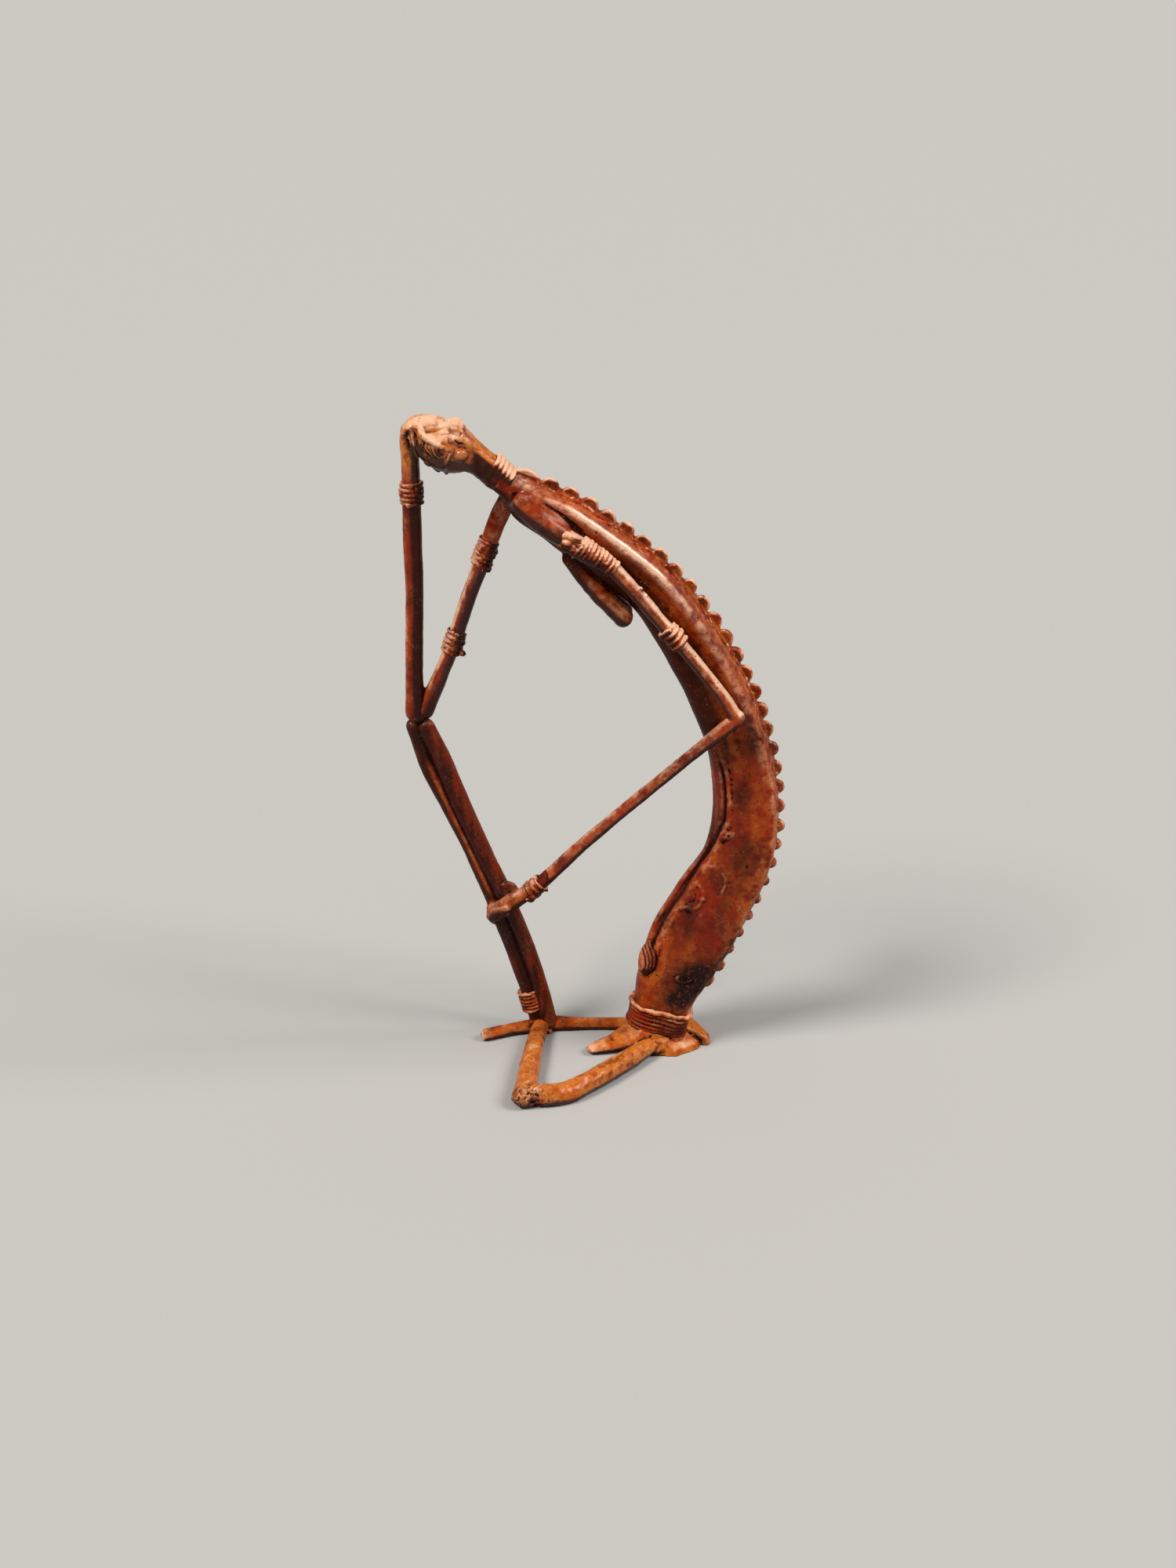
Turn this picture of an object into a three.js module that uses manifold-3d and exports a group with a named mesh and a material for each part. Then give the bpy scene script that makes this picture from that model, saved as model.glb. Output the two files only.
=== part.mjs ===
// Nommo figure: a slender seated spirit, cast in one piece in copper alloy by the lost-wax method.
// It was built up in wax from rolled rods and wound threads, so every limb is a round rod,
// every bracelet is a stack of thread turns, and the spine carries a scalloped crest.
//
// Units are millimetres, +Z is up, the figure faces -X and its own left side is towards -Y.

import * as THREE from "three";
import { mergeVertices } from "three/addons/utils/BufferGeometryUtils.js";
import Module from "manifold-3d";

const wasm = await Module();
wasm.setup();

// Driving dimensions

const FLOOR_CENTRE = [3.82, -20.81]; // middle of the footprint, which becomes the origin
const DEPTH_AXIS = new THREE.Vector3(0, 1, 0);

const ROD_SIDES = 8; // facets round an arm, a leg or a strut
const ROD_STEP = 12;
const SCALLOP_SIDES = 10;
const CAP_ANGLES = [0.3, 0.95]; // where the rings of a rod's half-round end stand, from its tip
const TORSO_SIDES = 18; // twice the gaps between the points of TORSO_HALF_SECTION
const TORSO_STEPS = 36;
const NECK_SIDES = 14;
const CORD_SIDES = 8;
const CORD_STEPS = 12;
const LOBE_SIDES = 12;
const FLOOR_CUT = [400, 400, 40]; // the block that trims the underside flat

// The torso runs from the head to the tail foot. Each row pairs a point of the back with the
// point of the belly opposite, both as [x, z], and gives half the width at that height.
const TORSO = [
  { back: [-51.0, 284.0], belly: [-54.0, 266.4], half: 7.8 },
  { back: [-43.0, 275.8], belly: [-47.0, 263.6], half: 6.0 },
  { back: [-36.4, 270.2], belly: [-41.4, 258.8], half: 5.8 },
  { back: [-30.0, 264.6], belly: [-35.8, 254.2], half: 7.4 },
  { back: [-22.0, 261.0], belly: [-30.5, 245.8], half: 9.6 },
  { back: [-6.5, 254.5], belly: [-17.5, 236.0], half: 10.4 },
  { back: [14.5, 240.3], belly: [0.0, 222.0], half: 11.2 },
  { back: [33.4, 224.7], belly: [17.0, 208.5], half: 11.4 },
  { back: [51.0, 202.7], belly: [28.8, 191.0], half: 11.6 },
  { back: [65.4, 178.5], belly: [40.8, 168.5], half: 11.8 },
  { back: [75.6, 153.1], belly: [49.5, 147.5], half: 12.0 },
  { back: [81.9, 123.4], belly: [54.6, 121.5], half: 12.4 },
  { back: [81.3, 95.0], belly: [52.6, 97.5], half: 12.8 },
  { back: [71.6, 66.8], belly: [39.8, 77.5], half: 13.2 },
  { back: [61.5, 45.4], belly: [28.8, 57.0], half: 13.2 },
  { back: [54.0, 32.4], belly: [22.6, 38.0], half: 12.8 },
  { back: [47.2, 22.0], belly: [21.0, 22.0], half: 12.0 },
  { back: [44.4, 12.0], belly: [18.6, 12.0], half: 11.8 },
  { back: [43.8, 4.0], belly: [16.8, 4.0], half: 12.6 },
  { back: [45.5, -2.0], belly: [15.5, -2.0], half: 14.0 },
];

// Half of the torso's section, from the middle of the back round one side to the middle of the
// belly, in shares of the two half axes: a flat back, a ridge at its edge and a slightly hollow flank.
const TORSO_HALF_SECTION = [
  [1.0, 0.0], [0.98, 0.42], [0.9, 0.78], [0.66, 1.0], [0.34, 0.98],
  [0.0, 0.9], [-0.36, 0.86], [-0.7, 0.68], [-0.92, 0.38], [-1.0, 0.0],
];

// Crest of scallops along the back line, from the neck to just above the tail collar. The first
// scallop is a long one.
const SCALLOP = { count: 31, radius: 4.5, thickness: 3.2, sunk: 0.4, first: 0.125, last: 0.9 };
const LONG_SCALLOP = { place: 0.096, radius: 6.4 };

// Arms and legs are rods: points on the centre line, and the radius at each point.
const RAISED_ARM = {
  points: [
    [-32.0, 8.0, 254.0], [-37.3, 9.0, 242.9], [-42.6, 9.0, 229.3], [-47.7, 8.8, 215.5],
    [-52.8, 8.2, 201.7], [-57.4, 7.4, 187.8], [-63.4, 6.6, 173.0], [-70.2, 6.2, 157.6],
  ],
  radii: [3.8, 3.9, 3.7, 3.4, 3.3, 3.3, 3.5, 4.0],
};
const RAISED_FOREARM = {
  points: [
    [-74.6, 6.2, 157.0], [-74.2, 5.6, 176.0], [-73.0, 4.4, 213.0], [-73.1, 3.4, 234.0],
    [-73.0, 2.6, 256.0], [-73.0, 1.8, 270.0], [-73.1, 0.8, 279.8], [-70.4, 0.2, 285.2],
    [-62.0, 0.0, 286.6],
  ],
  radii: [4.2, 3.8, 3.8, 4.2, 4.0, 4.1, 3.9, 3.5, 2.2],
};
const LOWERED_ARM = {
  points: [
    [-26.5, -7.5, 253.0], [-16.0, -11.0, 246.6], [-1.0, -12.4, 235.4], [9.0, -13.0, 228.6],
    [21.0, -13.8, 215.8], [31.0, -14.8, 204.2], [46.0, -16.2, 186.2], [57.0, -17.0, 172.0],
    [61.6, -17.2, 164.6],
  ],
  radii: [4.2, 3.8, 3.6, 3.4, 3.2, 3.1, 3.1, 3.1, 3.3],
};
const LOWERED_FOREARM = {
  points: [
    [62.4, -17.2, 162.2], [48.5, -15.6, 149.8], [33.5, -12.6, 135.0], [16.9, -9.8, 119.0],
    [-3.4, -5.6, 98.4], [-22.4, -1.4, 77.6], [-33.0, 0.8, 69.4], [-41.8, 2.6, 63.3],
  ],
  radii: [3.4, 2.8, 2.8, 2.8, 2.8, 3.2, 4.0, 3.8],
};
const FRONT_LEG = {
  points: [
    [-75.6, 7.4, 150.0], [-70.0, 7.8, 131.6], [-60.8, 8.2, 111.2], [-51.6, 8.4, 90.2],
    [-42.8, 8.6, 67.2], [-35.4, 8.8, 45.7], [-29.0, 8.8, 25.9], [-24.9, 8.8, 11.8], [-22.6, 8.8, 3.0],
  ],
  radii: [3.1, 3.5, 3.5, 3.4, 3.3, 3.3, 3.3, 3.3, 3.7],
};
const REAR_LEG = {
  points: [
    [-69.8, 5.6, 150.2], [-63.8, 6.0, 136.2], [-55.0, 6.4, 112.2], [-45.8, 6.8, 89.4],
    [-36.2, 7.2, 66.3], [-28.8, 7.6, 46.7], [-22.4, 8.0, 24.9], [-18.2, 8.4, 4.0],
  ],
  radii: [3.6, 4.2, 4.1, 3.9, 3.8, 3.6, 3.6, 4.2],
};

// The foot frame: a triangle of rods lying on the floor, and a short stub that points forward.
const FOOT_FRAME = {
  corner: [-27.6, -58.4, 4.0],
  legFoot: [-21.6, 7.6, 3.2],
  tailFoot: [34.2, -8.0, 5.9],
};
const STUB = {
  points: [[-21.0, 8.4, 3.0], [-34.0, 4.4, 2.6], [-46.4, -0.8, 2.4]],
  radii: [3.4, 3.0, 2.8],
};
const REAR_STRUT = {
  points: [[-21.0, 8.8, 3.2], [0.0, 9.6, 2.5], [27.0, 9.8, 2.5]],
  radii: [3.6, 2.9, 2.9],
};
const SIDE_STRUT = {
  points: [FOOT_FRAME.legFoot, [-25.0, -22.0, 3.7], FOOT_FRAME.corner],
  radii: [3.8, 4.4, 5.4],
};
const FRONT_STRUT = {
  points: [
    FOOT_FRAME.corner, [-10.2, -55.0, 4.0], [1.4, -44.8, 4.1], [13.2, -31.6, 4.4],
    FOOT_FRAME.tailFoot,
  ],
  radii: [5.4, 5.0, 4.8, 4.6, 4.2],
};

// Pointed lobes of the tail fin, spread flat round the tail foot: tip as [x, y], width and the
// height at which the lobe leaves the foot.
const TAIL_CENTRE = [31.0, 0.0];
const TAIL_LOBES = [
  { tip: [-1.6, -14.8], width: 12.0, rise: 9.0 },
  { tip: [46.6, -16.4], width: 20.0, rise: 12.0 },
  { tip: [55.4, -5.2], width: 14.0, rise: 18.0 },
  { tip: [29.0, 22.0], width: 18.0, rise: 8.0 },
];
const LOBE_TIP_HEIGHT = 2.2;
const LOBE_SHARES = [0.2, 0.5, 0.75, 0.9, 0.99]; // where its sections stand, from foot to tip
const LOBE_SAG = 0.8; // below 1 the top falls away early
const LOBE_BLUNTNESS = 4;
const TAIL_MOUND = { centre: [31.0, -1.0, 1.0], half: [16.5, 13.5, 9.5], pitch: 0 };

// Bands of wound thread: the rod they sit on, where along it (0 to 1), turns and thickness.
const VALLEY_SHARE = 0.35; // depth of thread left between two turns
const BANDS = [
  { rod: "raisedArm", from: 0.22, to: 0.338, turns: 4, proud: 1.4 },
  { rod: "raisedArm", from: 0.628, to: 0.727, turns: 4, proud: 1.5 },
  { rod: "raisedForearm", from: 0.679, to: 0.754, turns: 3, proud: 1.6 },
  { rod: "loweredArm", from: 0.16, to: 0.2, turns: 1, proud: 1.8 },
  { rod: "loweredArm", from: 0.23, to: 0.37, turns: 6, proud: 1.2 },
  { rod: "loweredArm", from: 0.62, to: 0.7, turns: 3, proud: 1.6 },
  { rod: "loweredForearm", from: 0.81, to: 0.875, turns: 3, proud: 1.2 },
  { rod: "frontLeg", from: 0.88, to: 0.945, turns: 3, proud: 1.3 },
];
const NECK_RINGS = { from: 0.095, to: 0.16, turns: 5, proud: 1.9 };
const TAIL_COLLAR = { from: 0.857, to: 0.917, turns: 5, proud: 1.4 };

// Head: an egg laid forward, with the lump of hair behind it, the ear and its lobe.
const HEAD = { centre: [-59.0, 0.0, 275.6], half: [14.2, 9.6, 9.8], pitch: 0.52 };
const HEAD_LUMPS = [
  { centre: [-65.2, 0.0, 285.2], half: [9.6, 7.6, 3.7], pitch: 0.06 },
  { centre: [-54.2, 0.0, 283.8], half: [4.8, 6.2, 4.2], pitch: 0.6 },
  { centre: [-52.0, -7.6, 273.8], half: [3.1, 2.9, 3.3], pitch: 0.0 },
  { centre: [-52.0, 7.6, 273.8], half: [3.1, 2.9, 3.3], pitch: 0.0 },
];
// The hand of the raised arm lies over the brow, and its fingers hang down before the face.
const FINGERS = [
  { points: [[-70.5, -3.5, 285.2], [-73.2, -5.4, 282.0], [-72.0, -6.0, 277.0]], radius: 1.5 },
  { points: [[-66.5, -5.0, 285.2], [-68.8, -7.0, 280.5], [-67.2, -7.6, 272.0]], radius: 1.6 },
  { points: [[-67.5, 4.2, 285.0], [-70.2, 6.2, 280.0], [-69.4, 6.6, 273.0]], radius: 1.6 },
  { points: [[-68.0, 0.0, 286.4], [-71.2, 0.4, 280.0], [-70.4, 0.4, 272.0]], radius: 1.7 },
];

// Hanging breasts, the cord down the belly and the ribbed oval at the groin.
const BREAST = { root: [-7.6, 229.2], tip: [14.8, 203.4], spread: 4.4, radius: 4.2 };
const BREAST_ROOT_SHARE = 0.8; // its radius at the root, as a share of that at the tip
const BELLY_CORD = { from: 0.55, to: 0.757, radius: 1.9, sunk: 0.9 };
const CORD_END_SHARE = 0.04; // how blunt the cord's two ends are
const CORD_FULLNESS = 0.3; // below 1 it keeps its thickness nearly to the ends
const GROIN_OVAL = { centre: [26.8, -6.0, 44.0], half: [4.6, 5.0, 8.6], pitch: 0.24 };

// Geometry helpers

// A closed solid through a list of stations. Each station is a centre, two half axes and an
// optional section, a function from the angle to the two factors on those axes.
function loft(stations, sides) {
  const rows = stations.length - 1;
  const tube = new THREE.CylinderGeometry(1, 1, 1, sides, rows);
  const place = tube.getAttribute("position");
  const round = (angle) => [Math.cos(angle), Math.sin(angle)];
  for (let i = 0; i < place.count; i++) {
    const station = stations[Math.round((0.5 - place.getY(i)) * rows)];
    const reach = Math.hypot(place.getX(i), place.getZ(i));
    const [along, across] = (station.section ?? round)(Math.atan2(place.getZ(i), place.getX(i)));
    const p = station.centre.clone();
    p.addScaledVector(station.u, reach * along).addScaledVector(station.v, reach * across);
    place.setXYZ(i, p.x, p.y, p.z);
  }
  return solid(tube);
}

// The manifold-3d solid of a closed three.js geometry, turned to face out.
function solid(geometry) {
  const bare = new THREE.BufferGeometry().setIndex(geometry.index);
  bare.setAttribute("position", geometry.getAttribute("position"));
  const merged = mergeVertices(bare, 1e-4);
  const vertProperties = merged.getAttribute("position").array;
  const triVerts = new Uint32Array(merged.index.array);
  const made = new wasm.Manifold(new wasm.Mesh({ numProp: 3, vertProperties, triVerts }));
  if (made.volume() > 0) return made;
  for (let i = 0; i < triVerts.length; i += 3) {
    [triVerts[i + 1], triVerts[i + 2]] = [triVerts[i + 2], triVerts[i + 1]];
  }
  return new wasm.Manifold(new wasm.Mesh({ numProp: 3, vertProperties, triVerts }));
}

// Reads a list of numbers, spaced evenly from 0 to 1, at t.
function between(values, t) {
  const place = Math.min(Math.max(t, 0), 1) * (values.length - 1);
  const low = Math.min(Math.floor(place), values.length - 2);
  return THREE.MathUtils.lerp(values[low], values[low + 1], place - low);
}

// A smooth curve through points, and its frame and radius at t of its length.
function rodPath({ points, radii }) {
  const stops = points.map((p) => new THREE.Vector3(...p));
  const curve = new THREE.CatmullRomCurve3(stops, false, "centripetal");
  const at = (t) => {
    const centre = curve.getPointAt(t);
    const tangent = curve.getTangentAt(t);
    const helper = Math.abs(tangent.y) > 0.8 ? new THREE.Vector3(0, 0, 1) : DEPTH_AXIS;
    const u = new THREE.Vector3().crossVectors(tangent, helper).normalize();
    const v = new THREE.Vector3().crossVectors(tangent, u);
    return { centre, tangent, u, v, radius: between(radii, curve.getUtoTmapping(t)) };
  };
  return { at, length: curve.getLength() };
}

// A round station of a rod, moved along it by a distance.
function roundStation({ centre, tangent, u, v }, radius, shift = 0) {
  return {
    centre: centre.clone().addScaledVector(tangent, shift),
    u: u.clone().multiplyScalar(radius),
    v: v.clone().multiplyScalar(radius),
  };
}

// A rod with half-round ends beyond its first and last points.
function rod(spec, sides = ROD_SIDES, step = ROD_STEP) {
  const { at, length } = rodPath(spec);
  const cap = (end, sign) =>
    CAP_ANGLES.map((angle) => {
      const shift = sign * end.radius * Math.cos(angle);
      return roundStation(end, end.radius * Math.sin(angle), shift);
    });
  const steps = Math.max(1, Math.round(length / step));
  const places = Array.from({ length: steps + 1 }, (_, i) => at(i / steps));
  const middle = places.map((place) => roundStation(place, place.radius));
  return loft([...cap(at(0), -1), ...middle, ...cap(at(1), 1).reverse()], sides);
}

// A stack of thread turns round a path, from one share of its length to another.
function woundBand(at, { from, to, turns, proud }, sides) {
  const levels = turns * 2;
  const stations = Array.from({ length: levels + 1 }, (_, i) => {
    const place = at(from + ((to - from) * i) / levels);
    return grown(place, i % 2 === 0 ? proud * VALLEY_SHARE : proud);
  });
  return loft(stations, sides);
}

// The same station with its half axes made longer by a distance.
function grown({ centre, u, v, section, radius = 1 }, extra) {
  const longer = (axis) => axis.clone().setLength(axis.length() * radius + extra);
  return { centre, u: longer(u), v: longer(v), section };
}

function egg({ centre, half, pitch }, across = 14, up = 10) {
  const ball = new THREE.SphereGeometry(1, across, up);
  ball.scale(...half).rotateY(pitch).translate(...centre);
  return solid(ball);
}

function union(parts) {
  return parts.reduce((whole, part) => whole.add(part));
}

// Torso

function torsoSection(angle) {
  const place = (Math.abs(angle) / Math.PI) * (TORSO_HALF_SECTION.length - 1);
  const [along, across] = TORSO_HALF_SECTION[Math.round(place)];
  return [along, Math.sign(angle) * across];
}

const flat = ([x, z]) => new THREE.Vector3(x, 0, z);
const outline = (edge) =>
  new THREE.CatmullRomCurve3(TORSO.map((row) => flat(row[edge])), false, "centripetal");
const backLine = outline("back");
const bellyLine = outline("belly");
const halfWidths = TORSO.map((row) => row.half);

function torsoAt(t) {
  const [back, belly] = [backLine.getPoint(t), bellyLine.getPoint(t)];
  const centre = back.clone().add(belly).multiplyScalar(0.5);
  const u = back.clone().sub(centre);
  const v = DEPTH_AXIS.clone().multiplyScalar(between(halfWidths, t));
  return { centre, u, v, section: torsoSection };
}

function torso() {
  const stations = Array.from({ length: TORSO_STEPS + 1 }, (_, i) => torsoAt(i / TORSO_STEPS));
  return loft(stations, TORSO_SIDES);
}

// One scallop is a thick upright coin, half sunk in the back.
function scallop(place, length, height) {
  const { thickness, sunk } = SCALLOP;
  const centre = backLine.getPointAt(place);
  const tangent = backLine.getTangentAt(place);
  const slope = Math.atan2(tangent.z, tangent.x);
  const inward = new THREE.Vector3(tangent.z, 0, -tangent.x).multiplyScalar(sunk);
  const coin = new THREE.CylinderGeometry(1, 1, thickness, SCALLOP_SIDES);
  coin.scale(length, 1, height).rotateY(-slope).translate(centre.x + inward.x, 0, centre.z + inward.z);
  return solid(coin);
}

function crest() {
  const { count, radius, first, last } = SCALLOP;
  const places = Array.from({ length: count }, (_, i) => first + ((last - first) * i) / (count - 1));
  return [
    scallop(LONG_SCALLOP.place, LONG_SCALLOP.radius, radius),
    ...places.map((place) => scallop(place, radius, radius)),
  ];
}

function bellyCord() {
  const { from, to, radius, sunk } = BELLY_CORD;
  const stations = Array.from({ length: CORD_STEPS + 1 }, (_, i) => {
    const share = i / CORD_STEPS;
    const { centre, u } = torsoAt(from + (to - from) * share);
    const out = u.clone().normalize();
    const swell = Math.sin(Math.PI * THREE.MathUtils.lerp(CORD_END_SHARE, 1 - CORD_END_SHARE, share));
    const taper = radius * swell ** CORD_FULLNESS;
    const middle = centre.clone().sub(u).addScaledVector(out, sunk);
    const v = DEPTH_AXIS.clone().multiplyScalar(taper);
    return { centre: middle, u: out.multiplyScalar(taper), v };
  });
  return loft(stations, CORD_SIDES);
}

function breast(side) {
  const { root, tip, spread, radius } = BREAST;
  const depth = side * spread;
  const points = [[root[0], depth, root[1]], [tip[0], depth, tip[1]]];
  return rod({ points, radii: [radius * BREAST_ROOT_SHARE, radius] });
}

// Tail fin

// A lobe is a leaf of four-sided section that rises from its tip on the floor to the foot.
function tailLobe({ tip, width, rise }) {
  const start = new THREE.Vector3(...TAIL_CENTRE, 0);
  const end = new THREE.Vector3(...tip, 0);
  const direction = end.clone().sub(start).normalize();
  const side = new THREE.Vector3(-direction.y, direction.x, 0);
  const stations = LOBE_SHARES.map((share) => {
    const height = THREE.MathUtils.lerp(rise, LOBE_TIP_HEIGHT, share ** LOBE_SAG);
    const half = 0.5 * width * Math.sqrt(1 - share ** LOBE_BLUNTNESS);
    const centre = start.clone().lerp(end, share);
    return { centre, u: side.clone().multiplyScalar(half), v: new THREE.Vector3(0, 0, height) };
  });
  return loft(stations, LOBE_SIDES);
}

// Assembly

const rods = {
  raisedArm: RAISED_ARM,
  raisedForearm: RAISED_FOREARM,
  loweredArm: LOWERED_ARM,
  loweredForearm: LOWERED_FOREARM,
  frontLeg: FRONT_LEG,
  rearLeg: REAR_LEG,
  stub: STUB,
  rearStrut: REAR_STRUT,
  sideStrut: SIDE_STRUT,
  frontStrut: FRONT_STRUT,
};

function rodBands() {
  return BANDS.map((band) => woundBand(rodPath(rods[band.rod]).at, band, ROD_SIDES));
}

function head() {
  const fingers = FINGERS.map(({ points, radius }) => rod({ points, radii: [radius, radius] }, 6, 4));
  return [egg(HEAD), ...HEAD_LUMPS.map((lump) => egg(lump, 8, 6)), ...fingers];
}

function figureSolid() {
  const cast = union([
    torso(),
    ...crest(),
    woundBand(torsoAt, NECK_RINGS, NECK_SIDES),
    woundBand(torsoAt, TAIL_COLLAR, TORSO_SIDES),
    bellyCord(),
    breast(-1),
    breast(1),
    egg(GROIN_OVAL, 12, 10),
    ...head(),
    ...Object.values(rods).map((spec) => rod(spec)),
    ...rodBands(),
    ...TAIL_LOBES.map(tailLobe),
    egg(TAIL_MOUND),
  ]);
  const underFloor = new THREE.BoxGeometry(...FLOOR_CUT).translate(0, 0, -FLOOR_CUT[2] / 2);
  return cast.subtract(solid(underFloor));
}

function toGeometry(made) {
  const { numProp, vertProperties, triVerts } = made.getMesh();
  const geometry = new THREE.BufferGeometry();
  geometry.setAttribute("position", new THREE.BufferAttribute(vertProperties, numProp));
  geometry.setIndex(new THREE.BufferAttribute(triVerts, 1));
  return geometry;
}

const patina = new THREE.MeshStandardMaterial({ color: 0x8e3a1c, roughness: 0.55, metalness: 0.35 });

const figure = new THREE.Mesh(toGeometry(figureSolid()), patina);
figure.name = "nommo_figure";
figure.position.set(-FLOOR_CENTRE[0], -FLOOR_CENTRE[1], 0);

const group = new THREE.Group();
group.add(figure);

export default group;
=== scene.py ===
# Nommo figure: a slender seated spirit, built up in wax from rolled rods and wound threads and
# cast in one piece in copper alloy, with a red-brown patina, ochre earth and pale worn edges.
# Painted highlights on tops and edges, and painted shade underneath and in hollows, are mixed into these
# colours.
# Lengths are millimetres of the drawing until a piece is put into the frame, in metres.

from itertools import product

import bmesh
import bpy
import numpy as np
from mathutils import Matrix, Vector


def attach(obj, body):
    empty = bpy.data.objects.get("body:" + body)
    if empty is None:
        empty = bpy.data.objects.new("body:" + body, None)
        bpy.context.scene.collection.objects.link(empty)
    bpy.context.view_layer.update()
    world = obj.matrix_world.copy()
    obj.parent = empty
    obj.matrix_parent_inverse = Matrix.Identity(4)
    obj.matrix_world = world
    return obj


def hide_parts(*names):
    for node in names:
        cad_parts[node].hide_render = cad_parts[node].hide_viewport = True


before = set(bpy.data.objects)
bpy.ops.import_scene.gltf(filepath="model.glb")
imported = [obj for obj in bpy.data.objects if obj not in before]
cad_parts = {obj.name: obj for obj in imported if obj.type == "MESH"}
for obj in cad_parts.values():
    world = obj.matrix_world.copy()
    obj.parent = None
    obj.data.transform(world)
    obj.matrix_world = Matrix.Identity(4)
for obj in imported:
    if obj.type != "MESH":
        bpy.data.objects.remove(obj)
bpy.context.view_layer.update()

# Floor, light and camera
# A plain pale floor under two soft lamps, both high: the main one on the left and a little in
# front, and one at the right and behind that draws the shine along the figure's upper edges.

CAMERA_PLACE = (-0.00382, -0.91809, 0.5243)
CAMERA_TILT = np.radians(67.0)
CAMERA_LENS = 54.0
CAMERA_SENSOR = 36.0
FLOOR_RADIUS = 14.0
FLOOR_COLOUR = (0.45, 0.44, 0.425, 1.0)
SKY_COLOUR = (0.92, 0.91, 0.9, 1.0)
SKY_STRENGTH = 0.3
LAMPS = [  # name, where its light comes from, how wide it looks in degrees, power, colour
    ("key_lamp", (-0.60, -0.40, 0.80), 22.0, 2.5, (1.0, 0.97, 0.92)),
    ("edge_lamp", (0.68, -0.12, 0.66), 30.0, 2.2, (1.0, 0.98, 0.96)),
]

scene = bpy.context.scene
floor_mesh = bmesh.new()
bmesh.ops.create_circle(floor_mesh, cap_ends=True, segments=96, radius=FLOOR_RADIUS)
floor_data = bpy.data.meshes.new("studio_floor")
floor_mesh.to_mesh(floor_data)
floor_mesh.free()
floor = bpy.data.objects.new("studio_floor", floor_data)
scene.collection.objects.link(floor)
floor_paint = bpy.data.materials.new("studio_floor_paint")
floor_paint.use_nodes = True
floor_shader = floor_paint.node_tree.nodes["Principled BSDF"]
floor_shader.inputs["Base Color"].default_value = FLOOR_COLOUR
floor_shader.inputs["Roughness"].default_value = 0.9
floor_shader.inputs["Specular IOR Level"].default_value = 0.1
floor_data.materials.append(floor_paint)

world = bpy.data.worlds.new("studio_air")
world.use_nodes = True
world.node_tree.nodes["Background"].inputs["Color"].default_value = SKY_COLOUR
world.node_tree.nodes["Background"].inputs["Strength"].default_value = SKY_STRENGTH
scene.world = world
scene.view_settings.view_transform = "Standard"

for name, source, width, power, colour in LAMPS:
    lamp = bpy.data.lights.new(name, "SUN")
    lamp.angle = np.radians(width)
    lamp.energy = power
    lamp.color = colour
    holder = bpy.data.objects.new(name, lamp)
    holder.location = source
    holder.rotation_euler = (-Vector(source)).to_track_quat("-Z", "Y").to_euler()
    scene.collection.objects.link(holder)

camera = bpy.data.objects.new("photo_camera", bpy.data.cameras.new("photo_camera"))
camera.data.lens = CAMERA_LENS
camera.data.sensor_width = CAMERA_SENSOR
camera.data.clip_start = 0.01
camera.location = CAMERA_PLACE
camera.rotation_euler = (CAMERA_TILT, 0.0, 0.0)
scene.collection.objects.link(camera)
scene.camera = camera

# Trunk
# The long bent body, one thick roll of wax with a flat back, a ridge along each edge of it and
# hollow flanks. The shoulders, the hanging breasts, the cord down the belly and the ribbed oval
# at the groin are pressed onto it. It ends under the neck rings and under the tail collar.

MILLIMETRE = 0.001
DRAWING_CENTRE = np.array([3.82, -20.81, 0.0])
TRUNK_ROWS = np.array([  # back x and z, belly x and z, half width
    (-51.0, 284.0, -54.0, 266.4, 7.8), (-43.0, 275.8, -47.0, 263.6, 6.0),
    (-36.4, 270.2, -41.4, 258.8, 5.8), (-30.0, 264.6, -35.8, 254.2, 7.4),
    (-22.0, 261.0, -30.5, 245.8, 9.6), (-6.5, 254.5, -17.5, 236.0, 10.4),
    (14.5, 240.3, 0.0, 222.0, 11.2), (33.4, 224.7, 17.0, 208.5, 11.4),
    (51.0, 202.7, 28.8, 191.0, 11.6), (65.4, 178.5, 40.8, 168.5, 11.8),
    (75.6, 153.1, 49.5, 147.5, 12.0), (81.9, 123.4, 54.6, 121.5, 12.4),
    (81.3, 95.0, 52.6, 97.5, 12.8), (71.6, 66.8, 39.8, 77.5, 13.2),
    (61.5, 45.4, 28.8, 57.0, 13.2), (54.0, 32.4, 22.6, 38.0, 12.8),
    (47.2, 22.0, 21.0, 22.0, 12.0), (44.4, 12.0, 18.6, 12.0, 11.8),
    (43.8, 4.0, 16.8, 4.0, 12.6), (45.5, -2.0, 15.5, -2.0, 14.0),
])
TRUNK_SECTION = [  # from the middle of the back round one side to the belly
    (1.0, 0.0), (0.98, 0.42), (0.9, 0.78), (0.66, 1.0), (0.34, 0.98),
    (0.0, 0.9), (-0.36, 0.86), (-0.7, 0.68), (-0.92, 0.38), (-1.0, 0.0),
]
TRUNK_SPAN = (0.118, 0.89)
TRUNK_VOXEL = 0.66
NECK_RING_SPAN = (0.095, 0.16)
COLLAR_SPAN = (0.857, 0.917)
RAISED_ARM = (
    [(-32.0, 8.0, 254.0), (-37.3, 9.0, 242.9), (-42.6, 9.0, 229.3), (-47.7, 8.8, 215.5),
     (-52.8, 8.2, 201.7), (-57.4, 7.4, 187.8), (-63.4, 6.6, 173.0), (-70.2, 6.2, 157.6)],
    [3.8, 3.9, 3.7, 3.4, 3.3, 3.3, 3.5, 4.0],
)
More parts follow.
